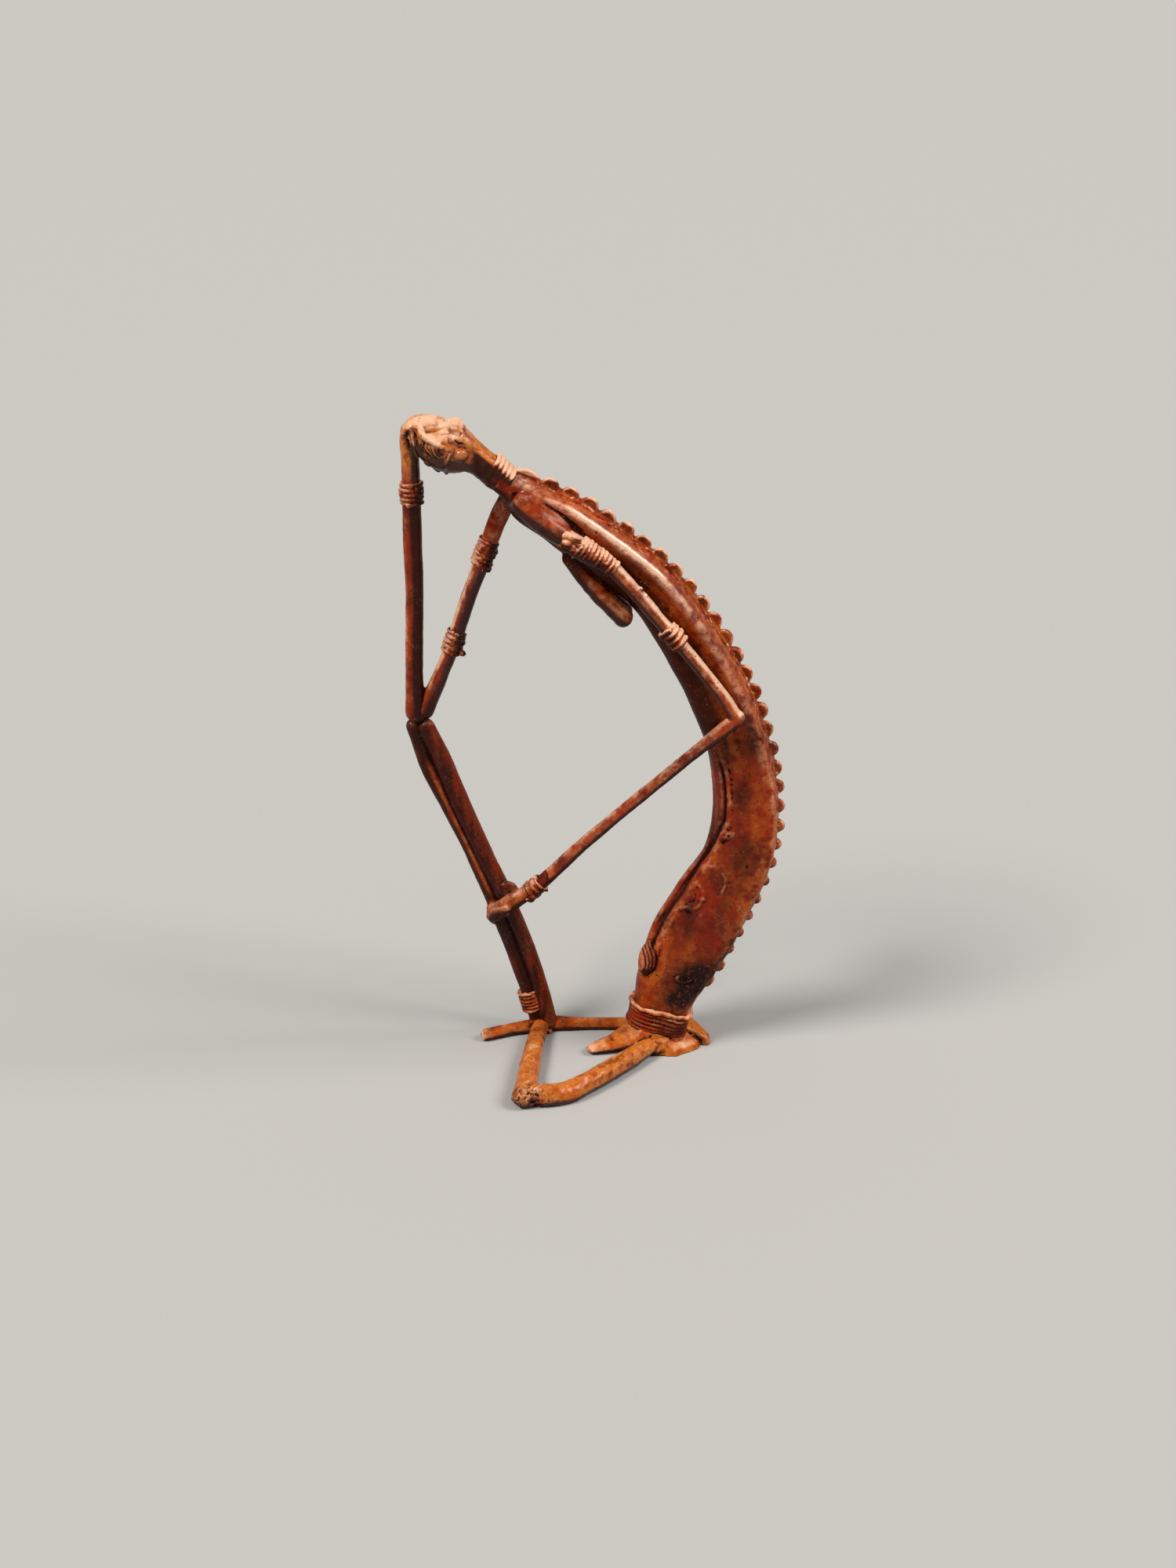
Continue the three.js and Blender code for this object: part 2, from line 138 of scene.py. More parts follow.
LOWERED_ARM = (
    [(-26.5, -7.5, 253.0), (-17.0, -11.4, 245.4), (-1.2, -12.8, 235.4), (9.0, -13.2, 228.6),
     (21.0, -13.8, 215.8), (31.0, -14.8, 204.2), (46.0, -16.2, 186.2), (57.0, -17.0, 172.0),
     (61.6, -17.2, 164.6)],
    [4.9, 4.7, 4.0, 3.3, 3.0, 2.9, 2.9, 2.9, 3.1],
)
BREAST = {"root": (-7.6, 229.2), "tip": (14.8, 203.4), "spread": 4.4, "radius": 4.2}
CORD = {"span": (0.55, 0.757), "radius": 1.9, "sunk": 0.9}
GROIN_OVAL = {"centre": (26.8, -6.0, 44.0), "half": (4.6, 5.0, 8.6), "pitch": 0.24}
SHOULDER_FILL = (
    [(-22.0, -8.4, 253.4), (-14.0, -9.2, 247.6), (-6.5, -9.8, 241.4), (1.0, -10.2, 235.0)],
    [3.8, 3.6, 2.6, 1.2],
)
FLANK_LUMPS = [  # nodules and pits: x and z, half sizes along them, height
    (60.3, 107.0, 2.6, 1.8, 1.1), (57.6, 105.4, 1.8, 1.4, 0.8), (61.0, 106.6, 0.8, 0.8, -0.7),
    (44.3, 72.7, 3.4, 1.6, 0.3), (38.0, 80.0, 4.0, 1.2, 0.5), (54.0, 92.0, 2.2, 1.6, 0.6),
    (50.0, 76.0, 1.4, 1.2, 0.6), (36.0, 62.0, 1.2, 2.4, 0.5), (-26.3, 257.3, 2.0, 1.6, 0.9),
    (-30.0, 255.4, 1.6, 1.8, 0.6), (3.5, 243.0, 0.8, 0.8, -0.7), (15.0, 235.0, 0.7, 0.7, -0.6),
]
ROUGH_SPOTS = [  # rough patches of the flank: middle, half sizes, strength
    ((55.0, 0, 137.0), (5.5, 1, 9.0), 1.0), ((60.0, 0, 120.0), (2.6, 1, 9.0), 1.0),
    ((50.0, 0, 32.0), (6.0, 1, 6.0), 1.0), ((31.0, 0, 52.0), (4.0, 1, 6.0), 0.6),
]
SCARS = [  # thin raised lines of wax on the flank: x and z of their points, width and height
    ([(40.2, 38.6), (39.4, 36.8), (41.6, 35.2), (45.2, 35.8), (46.6, 37.6)], 0.5, 0.7),
    ([(42.6, 38.0), (44.6, 37.4), (44.0, 36.4)], 0.4, 0.5),
    ([(40.6, 84.0), (46.6, 84.6), (50.4, 79.0), (48.6, 73.0), (43.0, 70.4)], 0.9, 0.35),
    ([(43.0, 81.0), (46.6, 79.6), (46.4, 75.4), (43.6, 74.4)], 0.5, -0.2),
    ([(34.6, 66.0), (38.0, 70.4), (43.6, 72.0), (47.0, 69.0)], 0.7, 0.5),
    ([(58.0, 90.0), (60.0, 84.0), (57.6, 78.0)], 0.6, 0.25),
    ([(28.6, 58.6), (31.4, 62.6), (33.4, 60.0), (30.6, 56.0)], 0.7, 0.6),
    ([(52.0, 44.0), (55.4, 41.0), (54.0, 37.0)], 0.7, 0.5),
]
STAINS = [  # dark patches low on the flank: middle, half sizes, strength
    ((46.0, -12.0, 36.0), (8.0, 8.0, 8.0), 1.2), ((39.0, -12.0, 26.0), (7.0, 8.0, 6.0), 1.0),
    ((53.0, -12.0, 42.0), (5.0, 8.0, 5.0), 0.6), ((66.0, -12.0, 126.0), (4.0, 8.0, 7.0), 0.62),
    ((66.0, -12.0, 97.0), (6.0, 8.0, 9.0), 0.62), ((45.0, -12.0, 68.0), (3.0, 8.0, 9.0), 0.62),
    ((70.0, -12.0, 150.0), (4.0, 8.0, 9.0), 0.62),
]


def smooth_line(points, fineness=24):
    """A dense smooth curve through the points, and the place (0 to 1) of each sample by index."""
    points = np.array(points, float)
    ends = (2 * points[:1] - points[1:2], 2 * points[-1:] - points[-2:-1])
    padded = np.vstack([ends[0], points, ends[1]])
    share = np.linspace(0, 1, fineness, endpoint=False)[:, None]
    pieces = []
    for before, start, end, after in zip(padded, padded[1:], padded[2:], padded[3:]):
        gaps = [max(np.linalg.norm(b - a) ** 0.5, 1e-4)
                for a, b in ((before, start), (start, end), (end, after))]
        leaving = ((start - before) / gaps[0] - (end - before) / (gaps[0] + gaps[1])) * gaps[1]
        leaving += end - start
        arriving = ((after - end) / gaps[2] - (after - start) / (gaps[1] + gaps[2])) * gaps[1]
        arriving += end - start
        pieces.append(
            start + leaving * share
            + (3 * (end - start) - 2 * leaving - arriving) * share**2
            + (2 * (start - end) + leaving + arriving) * share**3
        )
    line = np.vstack([*pieces, points[-1:]])
    return line, np.linspace(0, 1, len(line))


def read_line(line, places, at):
    """The points of a dense line at the given places along it."""
    return np.stack([np.interp(at, places, line[:, k]) for k in range(line.shape[1])], 1)


def unit(vectors):
    return vectors / np.maximum(np.linalg.norm(vectors, axis=-1, keepdims=True), 1e-9)


def loft(wax, rings):
    """Adds the closed skin through rings of points; end rings that are one point close it."""
    rows, sides = len(rings) - 1, len(rings[0])
    grid = bmesh.ops.create_grid(wax, x_segments=sides, y_segments=rows, size=0.5)["verts"]
    for vert in grid:
        around = round((vert.co.x + 0.5) * sides) % sides
        vert.co = rings[round((vert.co.y + 0.5) * rows)][around]
    bmesh.ops.remove_doubles(wax, verts=grid, dist=1e-4)


def capped(rings):
    """The rings with one point, the middle of the end ring, before the first and after the last."""
    sides = rings.shape[1]
    first, last = (end.mean(1, keepdims=True).repeat(sides, 1) for end in (rings[:1], rings[-1:]))
    return np.concatenate([first, rings, last])


def rings_round(centres, u, v, radii, sides):
    angle = np.linspace(0, 2 * np.pi, sides, endpoint=False)
    reach = np.cos(angle)[None, :, None] * u[:, None] + np.sin(angle)[None, :, None] * v[:, None]
    return centres[:, None] + reach * np.asarray(radii)[:, None, None]


def rod_frame(points, radii, span=(0.0, 1.0), step=1.0):
    """Centres, two cross axes and radii along a rod, between two shares of its length."""
    line, index = smooth_line(points)
    run = np.concatenate([[0], np.cumsum(np.linalg.norm(np.diff(line, axis=0), axis=1))])
    run /= (length := run[-1])
    at = np.linspace(*span, max(3, round((span[1] - span[0]) * length / step) + 1))
    centres = read_line(line, run, at)
    tangents = unit(np.gradient(centres, axis=0))
    helper = (0, 0, 1) if np.abs(tangents[:, 1]).mean() > 0.6 else (0, 1, 0)
    u = unit(np.cross(tangents, helper))
    v = np.cross(tangents, u)
    radius = np.interp(np.interp(at, run, index), np.linspace(0, 1, len(radii)), radii)
    return centres, tangents, u, v, radius


def rod(wax, points, radii, span=(0.0, 1.0), step=1.0, sides=20, flatten=1.0):
    """Adds a rolled rod with round ends beyond its first and last points."""
    centres, tangents, u, v, radius = rod_frame(points, radii, span, step)
    cap = np.linspace(0, np.pi / 2, 6, endpoint=False)
    ends = []
    for end, sign in ((0, -1), (-1, 1)):
        far = centres[end] + sign * radius[end] * np.cos(cap)[:, None] * tangents[end]
        rings = rings_round(far, np.tile(u[end], (6, 1)), np.tile(v[end] * flatten, (6, 1)),
                            radius[end] * np.sin(cap), sides)
        ends.append(rings if end == 0 else rings[::-1])
    middle = rings_round(centres, u, v * flatten, radius, sides)
    loft(wax, np.concatenate([ends[0], middle, ends[1]]))


def egg(wax, centre, half, pitch=0.0, yaw=0.0, sides=28):
    """Adds a ball with three half sizes, turned nose down by pitch and sideways by yaw."""
    ball = bmesh.ops.create_uvsphere(wax, u_segments=sides, v_segments=sides // 2, radius=1.0)
    for vert in ball["verts"]:
        x, y, z = (vert.co[k] * half[k] for k in range(3))
        x, z = x * np.cos(pitch) + z * np.sin(pitch), z * np.cos(pitch) - x * np.sin(pitch)
        x, y = x * np.cos(yaw) - y * np.sin(yaw), x * np.sin(yaw) + y * np.cos(yaw)
        vert.co = (centre[0] + x, centre[1] + y, centre[2] + z)


def fuse(name, wax, voxel, smoothings=2):
    """Melts overlapping wax parts into one skin, and returns it as an object in millimetres."""
    raw = bpy.data.meshes.new(name)
    wax.to_mesh(raw)
    wax.free()
    lump = bpy.data.objects.new(name + "_wax", raw)
    scene.collection.objects.link(lump)
    melt = lump.modifiers.new("melt", "REMESH")
    melt.mode = "VOXEL"
    melt.voxel_size = voxel
    skin = bpy.data.meshes.new_from_object(lump.evaluated_get(bpy.context.evaluated_depsgraph_get()))
    bpy.data.objects.remove(lump)
    bpy.data.meshes.remove(raw)
    skin.name = name
    keep_main_skin(skin)
    piece = bpy.data.objects.new(name, skin)
    scene.collection.objects.link(piece)
    places = surface(skin)[0]
    edges, count = skin_edges(skin)
    for _ in range(smoothings):
        places += 0.6 * (neighbour_mean(places, edges, count) - places)
    set_places(skin, places)
    return piece


def keep_main_skin(skin):
    """Deletes the crumbs and closed bubbles that lie loose from the largest skin."""
    mesh = bmesh.new()
    mesh.from_mesh(skin)
    left, parts = set(mesh.verts), []
    while left:
        part, front = [], [left.pop()]
        while front:
            vert = front.pop()
            part.append(vert)
            for edge in vert.link_edges:
                other = edge.other_vert(vert)
                if other in left:
                    left.remove(other)
                    front.append(other)
        parts.append(part)
    parts.sort(key=len)
    loose = [vert for part in parts[:-1] for vert in part]
    if loose:
        bmesh.ops.delete(mesh, geom=loose, context="VERTS")
        mesh.to_mesh(skin)
    mesh.free()


def surface(skin):
    """The place and the outward direction of every vertex."""
    places = np.empty(len(skin.vertices) * 3, np.float32)
    skin.vertices.foreach_get("co", places)
    normals = np.empty(len(skin.vertices) * 3, np.float32)
    skin.vertex_normals.foreach_get("vector", normals)
    return places.reshape(-1, 3).astype(float), normals.reshape(-1, 3).astype(float)


def set_places(skin, places):
    skin.vertices.foreach_set("co", places.astype(np.float32).ravel())
    skin.update()


def skin_edges(skin):
    edges = np.empty(len(skin.edges) * 2, np.int32)
    skin.edges.foreach_get("vertices", edges)
    return edges.reshape(-1, 2), np.bincount(edges, minlength=len(skin.vertices))


def neighbour_mean(values, edges, count):
    total = np.empty_like(values)
    for k in range(values.shape[1]):
        total[:, k] = sum(
            np.bincount(edges[:, a], weights=values[edges[:, 1 - a], k], minlength=len(values))
            for a in (0, 1)
        )
    return total / np.maximum(count, 1)[:, None]


LATTICE = np.random.default_rng(11).uniform(-1, 1, (32, 32, 32))


def wax_noise(places, size, octaves=1, shift=0.0):
    """Smooth noise from -1 to 1, with swellings about as long as size, which may be per axis."""
    total = weight = 0.0
    for octave in range(octaves):
        grid = places / (np.asarray(size) / 2**octave) + 7.3 * octave + shift
        low = np.floor(grid).astype(int)
        share = grid - low
        share = share * share * (3 - 2 * share)
        value = np.zeros(len(places))
        for corner in product((0, 1), repeat=3):
            weights = np.prod(np.where(corner, share, 1 - share), axis=1)
            i, j, k = ((low + corner) % len(LATTICE)).T
            value += weights * LATTICE[i, j, k]
        total = total + value * 0.5**octave
        weight += 0.5**octave
    return total / weight


def smooth_step(low, high, values):
    share = np.clip((values - low) / (high - low), 0, 1)
    return share * share * (3 - 2 * share)


def along_line(places, points, reach):
    """Distance from each place to a smooth line, and the share of the line that is nearest."""
    line, _ = smooth_line(points, 6)
    distance = np.full(len(places), 1e3)
    share = np.zeros(len(places))
    near = np.all((places > line.min(0) - reach) & (places < line.max(0) + reach), axis=1)
    if near.any():
        nearest = np.linalg.norm(places[near][:, None] - line[None], axis=2).argmin(1)
        ahead = np.gradient(line, axis=0)[nearest]
        offset = places[near] - line[nearest]
        step = np.clip(np.sum(offset * ahead, axis=1) / np.sum(ahead**2, axis=1), -0.5, 0.5)
        step = np.clip(step, -nearest, len(line) - 1 - nearest)
        distance[near] = np.linalg.norm(offset - step[:, None] * ahead, axis=1)
        share[near] = (nearest + step) / (len(line) - 1)
    return distance, share


def upright(points):
    """Points given as x and z, on the upright plane at y = 0."""
    return [(x, 0.0, z) for x, z in points]


def drawn_line(places, points, width, height, fade=0.12):
    """Height of a ridge, or depth of a groove, that follows a line and fades at its ends."""
    distance, share = along_line(places, points, 4 * width)
    ends = smooth_step(0, fade, share) * smooth_step(0, fade, 1 - share)
    return height * np.exp(-((distance / width) ** 2)) * ends


def near_line(places, points, reach, width, power=2):
    """A mask that is 1 on a line and falls off round it, sharper where power is higher."""
    gap, _ = along_line(places, points, reach)
    return np.exp(-((gap / width) ** power))


def mound(places, centre, radius, height=1.0):
    """A soft round swelling, or a soft round patch of colour."""
    offset = (places - np.array(centre)) / np.asarray(radius)
    return height * np.exp(-np.sum(offset**2, axis=1))


def weather(piece, **paint):
    """Stores how hollow or proud the surface is, and where its colours lie, for the patina.

    Each piece also gets painted shade on its undersides, on top of its own."""
    skin = piece.data
    places, normals = surface(skin)
    edges, count = skin_edges(skin)
    smooth = places.copy()
    for step in range(1, 25):
        smooth += 0.8 * (neighbour_mean(smooth, edges, count) - smooth)
        if step in (3, 24):
            name = "hollow_fine" if step == 3 else "hollow_broad"
            paint[name] = np.sum((smooth - places) * normals, axis=1)
    underside_shade = smooth_step(-0.05, -0.7, normals[:, 2])
    paint["shade"] = np.clip(paint.get("shade", 0.0) + 0.85 * underside_shade, 0, 1)
    paint.setdefault("gloss", 0.3)
    for name in ("hollow_fine", "hollow_broad", "pale", "ochre", "stain", "shade", "gloss"):
        values = paint.get(name, np.zeros(len(places)))
        values = np.broadcast_to(values, len(places))
        skin.attributes.new(name, "FLOAT", "POINT").data.foreach_set("value", values.astype(np.float32))


def put_in_frame(piece, finish):
    """Stands the piece on the floor in the frame, in metres, and gives it its finish."""
    places = surface(piece.data)[0]
    places[:, 2] = np.maximum(places[:, 2], 0.0)
    set_places(piece.data, (places - DRAWING_CENTRE) * MILLIMETRE)
    piece.data.shade_smooth()
    piece.data.materials.clear()
    piece.data.materials.append(finish)
    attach(piece, "root")
    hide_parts("nommo_figure")


back_line, row_index = smooth_line(upright(TRUNK_ROWS[:, 0:2]))
belly_line, _ = smooth_line(upright(TRUNK_ROWS[:, 2:4]))
section_line, section_index = smooth_line(TRUNK_SECTION)


def trunk_frame(at):
    """Centre, half depth vector and half width of the trunk at places from neck to tail."""
    back, belly = read_line(back_line, row_index, at), read_line(belly_line, row_index, at)
    half = np.interp(at, np.linspace(0, 1, len(TRUNK_ROWS)), TRUNK_ROWS[:, 4])
    return (back + belly) / 2, (back - belly) / 2, half


def trunk_rings(at, sides=96):
    centres, depth, half = trunk_frame(at)
    angle = np.linspace(-np.pi, np.pi, sides, endpoint=False)
    section = read_line(section_line, section_index, np.abs(angle) / np.pi)
    width = np.zeros_like(depth)
    width[:, 1] = half
    across = section[:, 1] * np.sign(angle)
    rings = centres[:, None] + section[:, 0][None, :, None] * depth[:, None]
    return rings + across[None, :, None] * width[:, None]


def trunk_place(places):
    """Where each point lies on the trunk: along it, from belly to back, and out to the side."""
    at = np.linspace(0, 1, 400)
    centres, depth, half = trunk_frame(at)
    nearest = np.empty(len(places), int)
    for first in range(0, len(places), 20000):
        block = slice(first, first + 20000)
        gaps = (places[block, None, 0] - centres[None, :, 0]) ** 2
        gaps += (places[block, None, 2] - centres[None, :, 2]) ** 2
        nearest[block] = gaps.argmin(1)
    along = np.gradient(centres, at, axis=0)[nearest]
    offset = (places - centres[nearest]) * (1, 0, 1)
    step = np.sum(offset * along, axis=1) / np.sum(along**2, axis=1)
    found = np.clip(at[nearest] + np.clip(step, at[0] - at[1], at[1] - at[0]), 0, 1)
    centre, depth, half = trunk_frame(found)
    back = np.sum((places - centre) * depth, axis=1) / np.sum(depth**2, axis=1)
    return found, back, places[:, 1] / half


def band(values, middle, width):
    return np.exp(-(((values - middle) / width) ** 2))


def side_view(places, depth):
    """Each point slid along the camera's line of sight to one upright plane, alike on both sides."""
    rise = np.tan(np.pi / 2 - CAMERA_TILT) * (depth - np.abs(places[:, 1]))
    return np.column_stack([places[:, 0], np.zeros(len(places)), places[:, 2] + rise])


wax = bmesh.new()
rings = trunk_rings(np.linspace(*TRUNK_SPAN, 330))
loft(wax, capped(rings))
rod(wax, *RAISED_ARM, span=(0.0, 0.3))
rod(wax, *LOWERED_ARM, span=(0.0, 0.2))
egg(wax, (-25.0, -7.6, 254.4), (5.4, 4.6, 4.8), pitch=0.6)
egg(wax, (-27.0, 6.6, 253.4), (5.0, 4.6, 4.8), pitch=0.6)
root, tip = BREAST["root"], BREAST["tip"]
middle = (0.55 * root[0] + 0.45 * tip[0] - 0.6, 0.55 * root[1] + 0.45 * tip[1] - 0.6)
for side in (-1, 1):
    rod(wax, [(x, side * BREAST["spread"], z) for x, z in (root, middle, tip)],
        [BREAST["radius"] * 0.8, BREAST["radius"] * 0.92, BREAST["radius"]])
rod(wax, *SHOULDER_FILL)
cord_at = np.linspace(*CORD["span"], 120)
cord_centre, cord_depth, _ = trunk_frame(cord_at)
cord_out = unit(cord_depth)
cord_radius = CORD["radius"] * np.maximum(np.sin(np.pi * np.linspace(0.02, 0.98, 120)), 0) ** 0.3
cord_rings = rings_round(cord_centre - cord_depth + CORD["sunk"] * cord_out, cord_out,
                         np.tile((0.0, 1.25, 0.0), (120, 1)), cord_radius, 16)
loft(wax, capped(cord_rings))
egg(wax, GROIN_OVAL["centre"], GROIN_OVAL["half"], GROIN_OVAL["pitch"])

trunk = fuse("trunk", wax, TRUNK_VOXEL, 4)
places, normals = surface(trunk.data)
at, back, side = trunk_place(places)
upper = smooth_step(0.16, 0.24, at) * (1 - smooth_step(0.5, 0.6, at))
lower = smooth_step(0.45, 0.6, at)
flank = smooth_step(0.45, 0.75, np.abs(side))
along_trunk = np.column_stack([at * 120.0, back * 13.0, places[:, 1]])
push = 0.28 * wax_noise(places, 13.0) + 0.14 * wax_noise(places, 4.5, 2)
ridge = smooth_step(0.4, 0.5, back) * (1 - smooth_step(0.86, 0.98, back))
hollow_side = band(back, 0.1, 0.3) * smooth_step(0.25, 0.34, at)
push += flank * upper * (0.9 * band(back, 0.68, 0.17) - 1.1 * hollow_side)
push += flank * lower * (0.7 * band(back, 0.8, 0.09) - 0.5 * band(back, 0.35, 0.35))
grain = 0.14 * wax_noise(along_trunk, (2.2, 3.4, 6.0), 2, shift=5.0) + 0.1 * wax_noise(places, 1.5, 2)
push += flank * lower * grain
beside_cord = smooth_step(0.53, 0.56, at) * (1 - smooth_step(0.75, 0.77, at))
beside_cord *= smooth_step(0.1, 0.2, np.abs(side))
groove_place = -0.9 + 0.22 * (1 - smooth_step(0.575, 0.635, at)) + 0.03 * wax_noise(places, 7.0)
groove = beside_cord * band(back, groove_place, 0.06)
push -= 1.0 * groove
push += beside_cord * 0.5 * band(back, groove_place + 0.16, 0.06) * (1 + wax_noise(places, 4.0, 2))
seam_side = smooth_step(0.84, 0.98, back) * smooth_step(0.2, 0.26, at)
push += seam_side * 0.5 * wax_noise(places, 2.2, 2)
view = side_view(places, 12.0)
rough = sum(mound(view, *spot) for spot in ROUGH_SPOTS)
push += flank * np.clip(rough, 0, 1) * 0.55 * wax_noise(places, 2.0, 2, shift=8.0)
for x, z, half_x, half_z, height in FLANK_LUMPS:
    lump = flank * mound(view, (x, 0, z), (half_x, 1, half_z), height)
    push += lump * (1 + 0.5 * wax_noise(places, 1.8))
scar_marks = 0.0
for points, width, height in SCARS:
    scar = flank * drawn_line(view, upright(points), width, 1.0, fade=0.15)
    push += height * scar
    scar_marks = scar_marks + (height > 0) * scar
breast_gap, breast_share = along_line(places * (1, 0, 1), upright((root, tip)), 9.0)
on_breast = smooth_step(6.5, 4.5, breast_gap) * smooth_step(-0.05, 0.55, breast_share)
breast_tip = mound(places, (14.0, -6.0, 206.5), (3.4, 4.0, 3.0))
push += on_breast * (0.45 * wax_noise(places, 3.6, 2, shift=3.0) + 0.5 * breast_tip)
rib_marks = 0.0
on_oval = mound(places, GROIN_OVAL["centre"], (6.5, 8.0, 9.5)) > 0.18
for turn in range(4):
    shift = 1.9 * (turn - 1.5)
    rib = upright([(25.4 + shift, 52.4), (27.6 + shift * 0.9, 47.0), (27.4 + shift * 0.8, 41.0),
                   (24.2 + shift * 0.6, 36.6)])
    rib_mark = near_line(places * (1, 0, 1), rib, 4.0, 0.45) * (places[:, 1] < -5.0) * on_oval
    push -= 0.4 * rib_mark
    rib_marks = rib_marks + rib_mark
set_places(trunk.data, places + normals * push[:, None])

near_side = smooth_step(2.0, -4.0, places[:, 1])
mottle = wax_noise(places, (9.0, 9.0, 15.0), 3)
streaks = wax_noise(along_trunk, (5.0, 3.0, 6.0), 3, shift=2.5)
stain = sum(mound(places, *spot) for spot in STAINS)
stain = np.clip(near_side * stain * (1.1 + 0.9 * mottle + 0.5 * streaks), 0, 1)
clouds = smooth_step(-0.1, 0.35, wax_noise(places, (12.0, 12.0, 22.0), 3, shift=9.0))
ochre = lower * (0.9 * band(back, 0.8, 0.12) + 0.25 * smooth_step(0.2, 0.6, streaks))
ochre += 0.7 * seam_side + 0.7 * mound(places, (33.0, -11.0, 50.0), (6.0, 8.0, 8.0))
ochre += 0.6 * beside_cord * band(back, groove_place + 0.18, 0.1)
ochre += lower * (0.55 * clouds + 0.5 * mound(view, (33.0, 0, 40.0), (8.0, 1, 26.0)))
# The breast's right-facing side also gets ochre here, as painted light.
ochre += 0.8 * upper * flank + 1.0 * on_oval + 0.9 * on_breast * smooth_step(0.0, 0.6, normals[:, 0])
ochre += 0.4 * np.clip(scar_marks, 0, 1) + 0.8 * lower * flank * band(back, 0.8, 0.14)
ochre = np.clip(ochre * (0.75 + 0.9 * mottle), 0, 1)
# Painted shade: the shadow of the near arm on the flank beside it.
shade_beside_arm = near_side * near_line(places, LOWERED_ARM[0], 14.0, 5.6, 4)
shade_beside_arm *= (1 - smooth_step(0.3, 0.46, back)) * smooth_step(0.3, 0.37, at)
shoulder = near_line(places, LOWERED_ARM[0], 14.0, 7.0, 4)
shoulder *= (1 - smooth_step(0.26, 0.32, at)) * smooth_step(-3.0, -7.0, places[:, 1])
# Painted light: up-facing skin by the neck is paler, less so on the shoulder.
pale = 0.6 * (1 - smooth_step(0.17, 0.27, at)) * smooth_step(0.2, 0.9, normals[:, 2]) * (1 - 0.8 * shoulder)
# Painted highlight along the upper ridge of the back.
glint = flank * band(back, 0.7, 0.1) * smooth_step(0.22, 0.3, at) * (1 - smooth_step(0.34, 0.46, at))
ridge_highlight = upper * ridge * (1 - smooth_step(0.38, 0.52, at))
pale += 1.0 * glint * (1 + 0.5 * streaks) + 0.12 * ridge_highlight * (1 + 0.7 * streaks)
# Painted highlight along the back edge of the lower flank.
pale += 0.55 * lower * flank * band(back, 0.8, 0.06) * smooth_step(-0.15, 0.35, mottle)
# Painted light on the breast's up-facing skin.
pale += 0.25 * on_breast * smooth_step(0.3, 0.8, normals[:, 2] + 0.4 * streaks)
# Painted shade on the belly, lighter where the breast turns up and to the right.
belly = near_side * smooth_step(0.1, -0.45, back) * (1 - smooth_step(0.5, 0.56, at))
belly *= smooth_step(0.12, 0.2, at)
belly *= 1 - 0.85 * on_breast * smooth_step(-0.5, 0.3, normals[:, 2] + 0.6 * normals[:, 0])
shadows = smooth_step(0.0, 0.5, wax_noise(places, (10.0, 10.0, 20.0), 3, shift=4.0))
facing_down = smooth_step(0.2, -0.3, normals[:, 2])
# The lower flank is darker all over, in patches and in streaks; the darkening beside the arm, on the belly,
# under the shoulder and the neck, in the groove and along the rib lines is painted shade.
shade = lower * (0.2 + 0.3 * shadows) + 0.9 * shade_beside_arm + belly + 0.7 * shoulder * facing_down
shade += 0.6 * groove + 0.6 * rib_marks + 0.25 * smooth_step(0.1, 0.6, -streaks)
shade += 0.5 * (1 - smooth_step(0.1, 0.18, at)) * facing_down
gloss = 0.4 * shoulder + 1.3 * upper * ridge * (1 - smooth_step(0.42, 0.55, at)) + 0.16 * lower
gloss += 0.3 * on_breast + 0.06
weather(trunk, pale=np.clip(pale, 0, 1), ochre=ochre, stain=stain, shade=np.clip(shade, 0, 1),
        gloss=np.clip(gloss, 0, 1.2))

RUST = (0.275, 0.021, 0.003, 1.0)
MAROON = (0.085, 0.006, 0.002, 1.0)
OCHRE = (0.50, 0.11, 0.014, 1.0)
PALE = (0.90, 0.53, 0.34, 1.0)
DEEP = (0.020, 0.0025, 0.001, 1.0)
BLACK = (0.010, 0.003, 0.0015, 1.0)
BUMP_STRENGTH = 0.6
BUMP_DEPTH = 0.0005
COAT_ROUGHNESS = 0.22
BASE_SPECULAR = 0.04  # low, because the wax-like coat makes the shine


